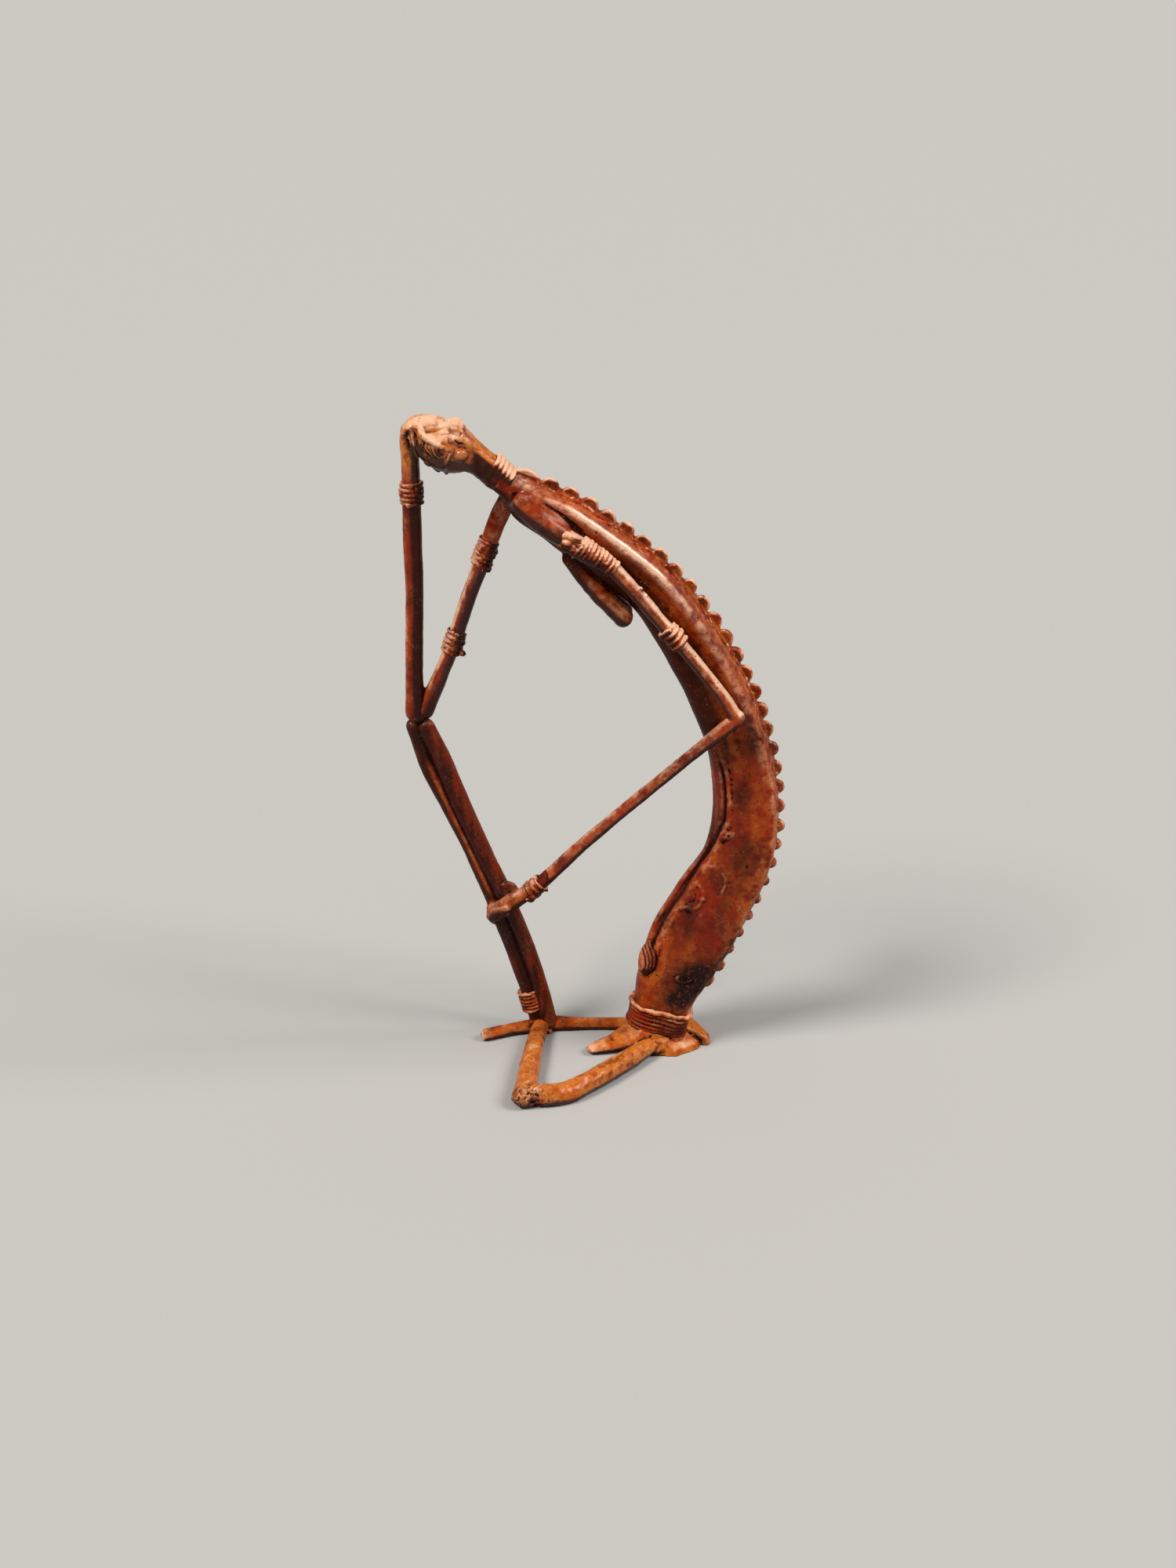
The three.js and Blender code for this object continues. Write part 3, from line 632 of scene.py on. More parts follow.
def make_patina():
    """The node group of the whole surface: colour, roughness, shine and height of the patina."""
    group = bpy.data.node_groups.new("aged_red_patina", "ShaderNodeTree")
    for title, kind, value in (
        ("Rust", "NodeSocketColor", RUST), ("Maroon", "NodeSocketColor", MAROON),
        ("Ochre", "NodeSocketColor", OCHRE), ("Pale", "NodeSocketColor", PALE),
        ("Worn", "NodeSocketFloat", 0.5), ("Grime and shade", "NodeSocketFloat", 1.0),
        ("Earth", "NodeSocketFloat", 0.3), ("Grain", "NodeSocketFloat", 1.0),
    ):
        group.interface.new_socket(title, in_out="INPUT", socket_type=kind).default_value = value
    for title, kind in (("Color", "NodeSocketColor"), ("Roughness", "NodeSocketFloat"),
                        ("Shine", "NodeSocketFloat"), ("Height", "NodeSocketFloat")):
        group.interface.new_socket(title, in_out="OUTPUT", socket_type=kind)
    nodes, links = group.nodes, group.links
    given = nodes.new("NodeGroupInput")
    result = nodes.new("NodeGroupOutput")
    place = nodes.new("ShaderNodeTexCoord").outputs["Object"]

    def plug(value, socket):
        if isinstance(value, bpy.types.NodeSocket):
            links.new(value, socket)
        else:
            socket.default_value = value

    def stored(name):
        node = nodes.new("ShaderNodeAttribute")
        node.attribute_name = name
        return node.outputs["Fac"]

    def sums(operation, *values):
        node = nodes.new("ShaderNodeMath")
        node.operation = operation
        for value, socket in zip(values, node.inputs):
            plug(value, socket)
        return node.outputs[0]

    def ramp(value, low, high):
        node = nodes.new("ShaderNodeMapRange")
        node.interpolation_type = "SMOOTHSTEP"
        plug(value, node.inputs["Value"])
        node.inputs["From Min"].default_value = low
        node.inputs["From Max"].default_value = high
        return node.outputs["Result"]

    def clouds(scale, detail=4.0, rough=0.6):
        node = nodes.new("ShaderNodeTexNoise")
        node.inputs["Scale"].default_value = scale
        node.inputs["Detail"].default_value = detail
        node.inputs["Roughness"].default_value = rough
        links.new(place, node.inputs["Vector"])
        return node.outputs["Fac"]

    def blend(mask, below, above):
        node = nodes.new("ShaderNodeMix")
        node.data_type = "RGBA"
        plug(mask, node.inputs["Factor"])
        plug(below, node.inputs["A"])
        plug(above, node.inputs["B"])
        return node.outputs["Result"]

    broad, middle, fine, speckle = clouds(60), clouds(210), clouds(700, 3.0), clouds(1900, 2.0)
    hollow_fine, hollow_broad = stored("hollow_fine"), stored("hollow_broad")
    patches = sums("MULTIPLY", ramp(broad, 0.42, 0.62), 0.85)
    colour = blend(patches, given.outputs["Rust"], given.outputs["Maroon"])
    earth = sums("MULTIPLY", ramp(middle, 0.45, 0.72), given.outputs["Earth"])
    colour = blend(earth, colour, given.outputs["Ochre"])
    ochre = sums("MULTIPLY", stored("ochre"), ramp(middle, 0.3, 0.62))
    colour = blend(ochre, colour, given.outputs["Ochre"])
    uneven = sums("ADD", sums("MULTIPLY", sums("SUBTRACT", middle, 0.5), 0.9),
                  sums("MULTIPLY", sums("SUBTRACT", fine, 0.5), 0.5))
    # Painted shade: the stored shade, broken up by noise, turns the colour deep brown.
    shade = ramp(sums("ADD", stored("shade"), uneven), 0.08, 0.95)
    colour = blend(sums("MULTIPLY", shade, 0.93), colour, DEEP)
    # Hollows darken, partly from patina gathered there and partly as painted shade.
    grime_and_shade = sums("ADD", ramp(hollow_fine, 0.014, 0.09), ramp(hollow_broad, 0.04, 0.45))
    grime_and_shade_patches = sums("MULTIPLY", given.outputs["Grime and shade"], ramp(fine, 0.2, 0.5))
    grime_and_shade = sums("MULTIPLY", sums("MINIMUM", grime_and_shade, 1.0), grime_and_shade_patches)
    colour = blend(grime_and_shade, colour, DEEP)
    proud = sums("ADD", ramp(sums("MULTIPLY", hollow_fine, -1.0), 0.015, 0.1),
                 ramp(sums("MULTIPLY", hollow_broad, -1.0), 0.15, 0.9))
    worn = sums("MULTIPLY", sums("MINIMUM", proud, 1.0), given.outputs["Worn"])
    worn = sums("MULTIPLY", worn, ramp(middle, 0.38, 0.62))
    worn = sums("MULTIPLY", worn, sums("SUBTRACT", 1.0, shade))
    # The stored pale is partly dust and wear and partly painted highlight.
    pale_and_highlight = ramp(sums("ADD", stored("pale"), uneven), 0.2, 1.0)
    light = sums("MINIMUM", sums("MULTIPLY", sums("ADD", worn, pale_and_highlight), 0.82), 0.86)
    colour = blend(light, colour, given.outputs["Pale"])
    # Painted glints: small pale flecks scattered over the surface.
    painted_glints = sums("MULTIPLY", ramp(speckle, 0.64, 0.72), ramp(middle, 0.48, 0.66))
    colour = blend(sums("MULTIPLY", painted_glints, 0.55), colour, given.outputs["Pale"])
    stain = sums("MULTIPLY", stored("stain"), ramp(fine, 0.15, 0.5))
    colour = blend(stain, colour, BLACK)
    pit = nodes.new("ShaderNodeTexVoronoi")
    pit.inputs["Scale"].default_value = 520.0
    links.new(place, pit.inputs["Vector"])
    holes = sums("MULTIPLY", ramp(pit.outputs["Distance"], 0.28, 0.12), ramp(middle, 0.52, 0.62))
    colour = blend(sums("MULTIPLY", holes, 0.8), colour, DEEP)
    gloss = sums("MULTIPLY", stored("gloss"), sums("SUBTRACT", 1.0, grime_and_shade))
    rough = sums("ADD", 0.40, sums("MULTIPLY", fine, 0.22))
    rough = sums("ADD", rough, sums("MULTIPLY", sums("SUBTRACT", light, gloss), 0.12))
    shine = sums("MULTIPLY", ramp(broad, 0.22, 0.42), gloss)
    height = sums("ADD", sums("MULTIPLY", middle, 0.9), sums("MULTIPLY", fine, 0.6))
    height = sums("ADD", height, sums("MULTIPLY", speckle, sums("MULTIPLY", given.outputs["Grain"], 0.3)))
    height = sums("SUBTRACT", height, sums("MULTIPLY", holes, 0.6))
    for title, value in (("Color", colour), ("Roughness", rough), ("Shine", shine), ("Height", height)):
        links.new(value, result.inputs[title])
    return group


patina = make_patina()


def patina_finish(name, worn=0.5, grime_and_shade=1.0, earth=0.3, grain=1.0, rust=RUST, ochre=OCHRE, coat=0.35):
    """The patina on one piece, with its own share of wear, of grime and painted shade in the hollows, and of
    earth.
    """
    finish = bpy.data.materials.new(name)
    finish.use_nodes = True
    nodes, links = finish.node_tree.nodes, finish.node_tree.links
    shader = nodes["Principled BSDF"]
    layer = nodes.new("ShaderNodeGroup")
    layer.node_tree = patina
    for title, value in (("Worn", worn), ("Grime and shade", grime_and_shade), ("Earth", earth), ("Grain", grain),
                         ("Rust", rust), ("Ochre", ochre)):
        layer.inputs[title].default_value = value
    bump = nodes.new("ShaderNodeBump")
    bump.inputs["Strength"].default_value = BUMP_STRENGTH
    bump.inputs["Distance"].default_value = BUMP_DEPTH
    links.new(layer.outputs["Height"], bump.inputs["Height"])
    links.new(bump.outputs["Normal"], shader.inputs["Normal"])
    links.new(layer.outputs["Color"], shader.inputs["Base Color"])
    links.new(layer.outputs["Roughness"], shader.inputs["Roughness"])
    coating = nodes.new("ShaderNodeMath")
    coating.operation = "MULTIPLY"
    coating.inputs[1].default_value = coat
    links.new(layer.outputs["Shine"], coating.inputs[0])
    links.new(coating.outputs[0], shader.inputs["Coat Weight"])
    shader.inputs["Coat Roughness"].default_value = COAT_ROUGHNESS
    shader.inputs["Specular IOR Level"].default_value = BASE_SPECULAR
    return finish


put_in_frame(trunk, patina_finish("trunk_patina", worn=0.3, earth=0.3, rust=(0.25, 0.016, 0.002, 1.0),
                                  ochre=(0.47, 0.088, 0.008, 1.0), coat=1.0))

# Crest
# A row of small wax shells pressed upright along the spine, with a thick rim round a dished
# middle. They stand in a rough seam of crumbs, and towards the tail they turn into round knobs.

SCALLOP_COUNT = 31
SCALLOP_SPAN = (0.125, 0.9)
LONG_SCALLOP = {"place": 0.096, "radius": 6.4}
SCALLOP_SIZES = {  # along the back: share, half length, half height, thickness, and how round
    "place": [0.1, 0.45, 0.58, 0.7, 0.84, 0.9],
    "length": [4.3, 4.3, 3.8, 3.1, 3.2, 4.7],
    "height": [4.6, 4.5, 4.2, 4.0, 4.0, 4.3],
    "thick": [1.0, 1.0, 1.15, 1.5, 1.5, 1.3],
    "round": [0.0, 0.0, 0.35, 1.0, 1.0, 0.7],
}
SEAM = {"span": (0.085, 0.915), "steps": 260, "sunk": 2.0, "radius": 4.0, "crumbs": 220}
SHELL_PROFILE = [  # reach and half thickness, from the middle of one face to the rim
    (0.0, 0.75), (0.3, 0.78), (0.52, 0.88), (0.7, 1.1), (0.82, 1.35), (0.92, 1.2), (0.985, 0.55),
]
CREST_VOXEL = 0.42


def spine_place(share):
    """A point of the back line at a share of its length, and the line's direction there."""
    steps = np.linalg.norm(np.diff(back_line, axis=0), axis=1)
    run = np.concatenate([[0], np.cumsum(steps)]) / steps.sum()
    points = read_line(back_line, run, np.array([share - 0.002, share, share + 0.002]))
    return points[1], unit(points[2] - points[0])


def scallop(wax, share, length, height, thick, roundness, sunk, lean, drift):
    """Adds a dished shell on the spine, or a knob where roundness is 1."""
    centre, tangent = spine_place(share)
    outward = np.array([-tangent[2], 0.0, tangent[0]])
    centre = centre - outward * sunk + (0, drift, 0)
    sideways = np.array([0.0, 1.0, 0.0]) + outward * lean
    angle = np.linspace(0, 2 * np.pi, 28, endpoint=False)
    profile = [(reach, (1 - roundness) * half + roundness * 1.6 * np.sqrt(1 - reach**2))
               for reach, half in SHELL_PROFILE]
    faces = profile + [(reach, -half) for reach, half in profile[::-1]]
    rim = np.cos(angle)[:, None] * tangent * length + np.sin(angle)[:, None] * outward * height
    loft(wax, [centre + reach * rim + sideways * half * thick for reach, half in faces])


dice = np.random.default_rng(5)
wax = bmesh.new()
scallop(wax, LONG_SCALLOP["place"], LONG_SCALLOP["radius"], 4.5, 1.1, 0.0, 0.5, 0.0, 0.0)
for share in np.linspace(*SCALLOP_SPAN, SCALLOP_COUNT):
    length, height, thick, roundness = (
        np.interp(share, SCALLOP_SIZES["place"], SCALLOP_SIZES[key]) * dice.uniform(0.93, 1.03)
        for key in ("length", "height", "thick", "round")
    )
    scallop(wax, share, length, height, thick, min(roundness, 1.0), 0.45,
            dice.uniform(-0.14, 0.14), dice.uniform(-0.35, 0.35))
seam = [spine_place(share) for share in np.linspace(*SEAM["span"], SEAM["steps"])]
seam_centre = np.array([point for point, _ in seam])
seam_out = np.array([(-tangent[2], 0.0, tangent[0]) for _, tangent in seam])
seam_rings = rings_round(seam_centre - SEAM["sunk"] * seam_out, seam_out * 0.62,
                         np.tile((0.0, 1.0, 0.0), (SEAM["steps"], 1)),
                         np.full(SEAM["steps"], SEAM["radius"]), 20)
loft(wax, capped(seam_rings))
for _ in range(SEAM["crumbs"]):
    point, tangent = spine_place(dice.uniform(0.1, 0.905))
    outward = np.array([-tangent[2], 0.0, tangent[0]])
    size = dice.uniform(0.5, 1.1)
    spot = point + outward * dice.uniform(-0.9, 0.5)
    spot = spot + (0, dice.choice((-1, 1)) * dice.uniform(1.8, 4.0), 0)
    egg(wax, spot, (size, size * dice.uniform(0.8, 1.2), size), sides=8)

crest = fuse("spine_crest", wax, CREST_VOXEL)
places, normals = surface(crest.data)
push = 0.1 * wax_noise(places, 1.7, 2) + 0.12 * wax_noise(places, 5.0)
set_places(crest.data, places + normals * push[:, None])
at, back, _ = trunk_place(places)
rim = smooth_step(1.2, 1.36, back)
mottle = wax_noise(places, 7.0, 2)
lit_near_neck = (1 - smooth_step(0.15, 0.26, at)) * smooth_step(0, 0.7, normals[:, 2])
# Pale worn rims that also carry painted highlights, painted light on up-facing skin by the neck, and painted
# shade in the dished faces low on the crest.
weather(
    crest,
    pale=np.clip(rim * (0.95 + 0.5 * mottle) + 0.5 * lit_near_neck, 0, 1),
    ochre=np.clip(0.6 + 0.7 * mottle, 0, 1),
    stain=np.clip(smooth_step(0.6, 0.8, at) * (0.15 + 0.8 * wax_noise(places, 5.0, shift=3.0)), 0, 0.6),
    shade=0.3 * smooth_step(0.5, 0.62, at) * (1 - smooth_step(1.0, 1.15, back)),
    gloss=0.3 + 0.7 * rim,
)
put_in_frame(crest, patina_finish("crest_patina", worn=0.8, grime_and_shade=0.5, earth=0.4, grain=1.3, coat=0.7))

# Neck rings and tail collar
# Five turns of wax thread round the neck, and a thicker stack round the tail, whose top turn is
# frayed and stands out on the far side.

NECK_TURNS = {"count": 5, "radius": 1.05}
COLLAR_TURNS = {"count": 6, "radius": 0.85}
RING_VOXEL = 0.34


def ring_round_trunk(wax, place, radius, grow, lift, sides=80):
    """One thread ring round the trunk. Each point of it stands out by grow and is raised by lift."""
    loop = trunk_rings(np.array([place]), sides)[0]
    ahead = trunk_frame(np.array([place - 0.01, place + 0.01]))[0]
    axis = unit(ahead[1] - ahead[0])
    outward = unit(loop - loop.mean(0))
    outward = unit(outward - np.sum(outward * axis, axis=1, keepdims=True) * axis)
    loop = loop + outward * grow[:, None] - axis * lift[:, None]
    thickness = radius * (1 + 0.12 * np.sin(np.arange(sides) * 2 * np.pi * 5 / sides + place * 90))
    rings = rings_round(loop, outward, np.tile(axis, (sides, 1)), thickness, 12)
    loft(wax, np.concatenate([rings, rings[:1]]))


wax = bmesh.new()
angle = np.linspace(-np.pi, np.pi, 80, endpoint=False)
standing_out = 0.8 - 2.4 * smooth_step(0.2, 0.6, np.abs(angle) / np.pi)
step = (NECK_RING_SPAN[1] - NECK_RING_SPAN[0]) / NECK_TURNS["count"]
for turn in range(NECK_TURNS["count"]):
    place = NECK_RING_SPAN[0] + (turn + 0.5) * step
    ring_round_trunk(wax, place, NECK_TURNS["radius"], standing_out, 0 * angle)
neck_rings = fuse("neck_rings", wax, RING_VOXEL, 1)
places, normals = surface(neck_rings.data)
set_places(neck_rings.data, places + normals * (0.1 * wax_noise(places, 1.6, 2))[:, None])
# Painted highlight on the tops of the turns, painted shade under them.
weather(neck_rings, pale=smooth_step(0.1, 0.6, normals[:, 2]), ochre=0.4,
        shade=0.9 * smooth_step(0.3, -0.1, normals[:, 2]), gloss=0.7)
put_in_frame(neck_rings, patina_finish("neck_ring_patina", worn=0.8, earth=0.4, grain=1.2))

wax = bmesh.new()
step = (COLLAR_SPAN[1] - COLLAR_SPAN[0]) / COLLAR_TURNS["count"]
for turn in range(COLLAR_TURNS["count"]):
    sag = -2.2 * np.cos(angle) + 0.25 * np.sin(3 * angle + turn)
    if turn == 0:
        frayed_edge = sag + 0.16 * np.sin(11 * angle) + 0.12 * np.sin(17 * angle + 1.0)
        ring_round_trunk(wax, COLLAR_SPAN[0] + 0.3 * step, 1.15, 1.2 + 0 * angle, frayed_edge)
    else:
        place = COLLAR_SPAN[0] + (turn + 0.5) * step
        ring_round_trunk(wax, place, COLLAR_TURNS["radius"], 0.6 + 0.2 * np.cos(2 * angle + turn), sag)
collar = fuse("tail_collar", wax, RING_VOXEL, 1)
places, normals = surface(collar.data)
at, _, _ = trunk_place(places)
frayed = 1 - smooth_step(0.862, 0.872, at)
push = 0.08 * wax_noise(places, 1.6, 2) + frayed * 0.3 * wax_noise(places, 1.5, 2)
set_places(collar.data, places + normals * push[:, None])
# Painted light on the upward faces of the frayed turn, painted shade growing on the downward faces of the
# other turns.
weather(collar, pale=0.55 * frayed * smooth_step(-0.2, 0.6, normals[:, 2]), ochre=0.1 + 0.9 * frayed,
        shade=(0.5 - 0.5 * normals[:, 2]) * (1 - frayed))
put_in_frame(collar, patina_finish("collar_patina", worn=0.3, earth=0.2, grain=1.2))

# Head and raised hand
# A bowed head with long features, the ear and a glossy lobe at each side, and a knot of hair.
# The raised hand lies flat over the brow, and its fingers hang down before the face.

HEAD_VOXEL = 0.3
HEAD_EGG = {"centre": (-59.0, 0.0, 275.6), "half": (14.2, 9.6, 9.8), "pitch": 0.52}
RAISED_FOREARM = (
    [(-74.6, 6.2, 157.0), (-74.2, 5.6, 176.0), (-73.0, 4.4, 213.0), (-73.1, 3.4, 234.0), (-73.0, 2.6, 256.0),
     (-73.0, 1.8, 270.0), (-73.1, 0.8, 279.8), (-70.4, 0.2, 285.0), (-62.0, 0.0, 286.4)],
    [4.2, 3.8, 3.8, 4.1, 3.9, 3.8, 3.8, 3.5, 2.2],
)
PALM = (
    [(-73.4, 0.0, 282.4), (-70.6, 0.0, 285.2), (-65.0, 0.0, 286.3), (-59.4, 0.0, 286.5)],
    [3.2, 3.1, 2.4, 1.4],
)
HAIR_LUMPS = [
    ((-65.0, 0.0, 284.6), (9.2, 7.4, 3.6), 0.06), ((-54.2, 0.0, 283.2), (4.8, 6.2, 4.2), 0.55),
    ((-53.8, -2.0, 285.2), (2.8, 3.4, 2.2), 0.4), ((-53.8, 2.6, 285.0), (2.8, 3.2, 2.2), 0.4),
]
FINGERS = [  # points of each, and its radius at both ends
    ([(-71.4, -4.5, 285.6), (-71.6, -6.4, 281.0), (-70.2, -7.0, 276.0), (-69.2, -7.2, 272.8)], (1.6, 0.6)),
    ([(-68.6, -5.4, 285.2), (-67.8, -7.6, 280.0), (-65.6, -8.0, 274.0)], (1.4, 0.6)),
    ([(-69.6, -5.6, 285.4), (-65.9, -8.4, 281.4), (-62.6, -9.2, 279.4), (-59.2, -9.4, 277.6)], (1.9, 0.8)),
    ([(-71.4, 4.5, 285.6), (-71.6, 6.4, 281.0), (-70.2, 7.0, 276.0)], (1.6, 0.7)),
    ([(-68.6, 5.4, 285.2), (-67.8, 7.6, 280.0), (-65.6, 8.0, 274.0)], (1.4, 0.7)),
    ([(-69.6, 5.6, 285.4), (-65.9, 8.4, 281.4), (-61.6, 9.2, 278.8)], (1.9, 0.8)),
]
EAR_LOBE = ((-51.9, 7.5, 274.0), (3.0, 2.9, 3.1))
HEAD_LINES = {  # x and z of each ridge or groove, its width and its height
    "rim of the ear": ([(-55.0, 274.8), (-57.0, 271.8), (-58.1, 268.0)], 0.55, 1.0),
    "edge of the jaw": ([(-48.2, 277.0), (-47.9, 273.0), (-48.4, 268.4)], 1.0, 0.35),
    "crease under the brow": ([(-54.4, 280.5), (-52.6, 279.2), (-50.3, 278.8)], 0.42, -0.6),
    "brow": ([(-55.8, 281.8), (-53.4, 282.2), (-51.2, 281.0)], 1.2, 0.5),
    "crease over the thumb": ([(-59.8, 282.4), (-57.8, 283.0), (-56.0, 283.6)], 0.45, -0.6),
    "under the edge of the hand": ([(-66.8, 285.2), (-63.9, 286.8), (-60.2, 288.2)], 1.3, -1.0),
    "beside the first finger":
        ([(-73.5, 285.6), (-73.4, 281.0), (-72.9, 277.0), (-71.8, 273.0)], 1.3, -2.6),
    "beside the second finger": ([(-69.5, 281.8), (-69.2, 278.4), (-68.6, 274.4)], 0.8, -0.8),
    "upper edge of the thumb": ([(-70.2, 287.4), (-67.6, 285.2), (-64.4, 282.9)], 0.4, -0.5),
}
LOCKS = [  # strands of hair that slant down below the thumb: upper end and lower end
    ((-68.2, 281.2), (-64.4, 272.6)), ((-67.0, 280.2), (-62.6, 271.4)), ((-65.4, 279.4), (-61.4, 271.8)),
    ((-64.0, 278.4), (-60.0, 271.0)), ((-62.4, 277.6), (-58.9, 272.6)), ((-60.8, 276.6), (-57.8, 273.4)),
]
# Painted highlights along ridges of the head and hand.
HIGHLIGHT_LINES = [  # light edges on the head and hand: x and z, width and strength
    (HEAD_LINES["rim of the ear"][0], 0.7, 1.0), (HEAD_LINES["edge of the jaw"][0], 0.8, 0.25),
    (HEAD_LINES["brow"][0], 1.4, 0.7),
    ([(-68.6, 285.4), (-65.9, 282.4), (-62.9, 280.0), (-59.4, 278.0)], 1.6, 1.2),
    ([(-71.8, 286.0), (-71.1, 281.0), (-70.0, 276.0), (-69.3, 273.6)], 1.0, 0.8),
    ([(-75.4, 285.0), (-76.0, 278.0), (-76.0, 270.0)], 0.9, 0.5),
]
# Grooves that get painted shade.
SHADED_GROOVES = [  # name of the groove, width and strength
    ("beside the first finger", 1.6, 1.2), ("beside the second finger", 0.9, 0.4),
    ("under the edge of the hand", 1.5, 0.5), ("crease under the brow", 0.7, 0.4),
]


def head_point(along, side, up):
    """A point on the head: along its length from crown to chin, sideways, and out of the face."""
    centre, pitch = np.array(HEAD_EGG["centre"]), HEAD_EGG["pitch"]
    length = np.array([np.cos(pitch), 0.0, -np.sin(pitch)])
    face = np.array([-np.sin(pitch), 0.0, -np.cos(pitch)])
    return centre + along * length + np.array([0.0, side, 0.0]) + up * face


wax = bmesh.new()
rings = trunk_rings(np.linspace(0.0, 0.125, 60), sides=64)
loft(wax, capped(rings))
egg(wax, HEAD_EGG["centre"], HEAD_EGG["half"], HEAD_EGG["pitch"], sides=48)
for centre, half, pitch in HAIR_LUMPS:
    egg(wax, centre, half, pitch)
for side in (-1, 1):
    egg(wax, EAR_LOBE[0] * np.array([1, side, 1]), EAR_LOBE[1], 0.4)
    egg(wax, head_point(3.0, side * 7.2, 0.4), (4.8, 2.2, 5.0), HEAD_EGG["pitch"])
rod(wax, *RAISED_FOREARM, span=(0.7, 1.0))
rod(wax, *PALM, flatten=2.3)
for points, (thick, thin) in FINGERS:
    rod(wax, points, [thick, thin], step=0.5, sides=14)
rod(wax, [head_point(-4.5, 0, 8.0), head_point(0.0, 0, 9.3), head_point(2.8, 0, 9.6)], [0.7, 1.2], step=0.5)
rod(wax, [head_point(6.0, -2.4, 8.4), head_point(6.2, 0, 8.8), head_point(6.0, 2.4, 8.4)], [0.9, 0.9],
    step=0.5)
for side in (-1, 1):
    egg(wax, head_point(-2.4, side * 3.9, 8.0), (2.4, 1.9, 1.5), HEAD_EGG["pitch"])

head = fuse("head_and_raised_hand", wax, HEAD_VOXEL)
places, normals = surface(head.data)
view = side_view(places, 8.0)
facing = smooth_step(1.5, 3.5, np.abs(places[:, 1]))
facing *= smooth_step(-0.1, 0.3, np.abs(normals[:, 1]) + normals[:, 2] * 0.4)
push = 0.14 * wax_noise(places, 5.0, 2) + 0.07 * wax_noise(places, 1.4, 2)
wander_x, wander_z = 0.5 * wax_noise(places, 2.8), 0.5 * wax_noise(places, 2.8, shift=6.0)
view += np.column_stack([wander_x, 0 * push, wander_z])
for points, width, height in HEAD_LINES.values():
    push += 0.8 * facing * drawn_line(view, upright(points), width, height, fade=0.15)
locks = 0.0
for start, end in LOCKS:
    middle = (0.5 * (start[0] + end[0]) - 0.6, 0.5 * (start[1] + end[1]) - 0.4)
    locks = locks + facing * drawn_line(view, upright((start, middle, end)), 0.4, 1.0, fade=0.3)
push -= 0.42 * locks
cheek = facing * mound(view, (-59.0, 0, 279.0), (6.0, 1, 6.0))
push += cheek * 0.16 * wax_noise(places, 1.1, 2, shift=2.0)
on_bun = mound(places, (-53.6, 0.0, 285.0), (6.0, 9.0, 4.0))
push += np.clip(on_bun * 1.4, 0, 1) * (0.6 * wax_noise(places, 3.0, 2, shift=5.0) - 0.25)
slanting = np.column_stack([view[:, 0] * 0.5 + view[:, 2] * 0.2, places[:, 1], view[:, 2] * 1.2])
push += 0.14 * wax_noise(slanting, 1.5, 2) * smooth_step(-62, -56, places[:, 0])
neck = smooth_step(-48.0, -45.0, places[:, 0])
push += neck * (0.12 + 0.3 * smooth_step(0.3, -0.3, normals[:, 2])) * wax_noise(places, 2.2, 2)
set_places(head.data, places + normals * push[:, None])

# Painted light: the head is paler where it faces up and towards the crown, with painted highlights along its
# ridges.
lit_top = smooth_step(0.1, 0.8, normals[:, 2])
face_side = facing * smooth_step(271.0, 276.0, view[:, 2]) * (1 - neck)
on_lobe = np.clip(mound(view, (-51.9, 0, 274.6), (3.6, 1, 3.6), 1.5), 0, 1)
pale = lit_top * (0.2 + 0.3 * smooth_step(276.0, 285.0, places[:, 2]))
pale += 0.15 * face_side + 0.3 * cheek + 0.3 * on_bun
pale *= 0.9 + 0.5 * wax_noise(places, 3.0, 2, shift=8.0)
pale += 0.3 * smooth_step(283.4, 286.4, places[:, 2])
for points, width, strength in HIGHLIGHT_LINES:
    pale += 0.75 * facing * drawn_line(view, upright(points), width, strength)
# Painted shade under the head, in the grooves and between the locks, beside the wrist and under the neck;
# low down it is also darker in patches.
shade = 0.75 * mound(view, (-61.0, 0, 271.0), (6.0, 1, 3.6)) + 0.6 * locks
for groove, width, strength in SHADED_GROOVES:
    shade += strength * facing * drawn_line(view, upright(HEAD_LINES[groove][0]), width, 1.0)
shade += mound(view, (-53.4, 0, 268.0), (5.0, 1, 2.6), 0.9)
shade += mound(view, (-45.0, 0, 268.2), (4.4, 1, 4.0), 1.0)
shade_by_the_wrist = smooth_step(-73.4, -71.6, places[:, 0]) * smooth_step(-66.0, -68.0, places[:, 0])
shade += 0.9 * shade_by_the_wrist * smooth_step(280.0, 276.0, places[:, 2])
shade += neck * smooth_step(0.35, -0.2, normals[:, 2]) * 0.9
low_patches = np.clip(wax_noise(places, 4.0, 2, shift=2.0), 0, 1)
shade += 0.25 * low_patches * smooth_step(284.0, 278.0, places[:, 2])
ochre = np.clip(1.5 - 0.9 * on_lobe + 0.5 * wax_noise(places, 6.0, 2), 0, 2)
weather(
    head,
    pale=np.clip(pale * (1 - 0.8 * np.clip(shade, 0, 1)) * (1 - 0.85 * on_lobe), 0, 1),
    ochre=ochre * smooth_step(262.0, 271.0, places[:, 2]),
    shade=np.clip(shade, 0, 1),
    gloss=(0.6 - 0.3 * neck) * (1 - 0.7 * np.clip(on_bun, 0, 1)) + 0.5 * on_lobe,
)
put_in_frame(head, patina_finish("head_patina", worn=0.35, earth=0.8, ochre=(0.56, 0.16, 0.025, 1.0),
                                 coat=0.8))

# Raised arm
# The far arm goes down to an elbow that rests on the knees, and its forearm stands straight up
# to the brow. Both are plain rolled rods.

ARM_VOXEL = 0.45

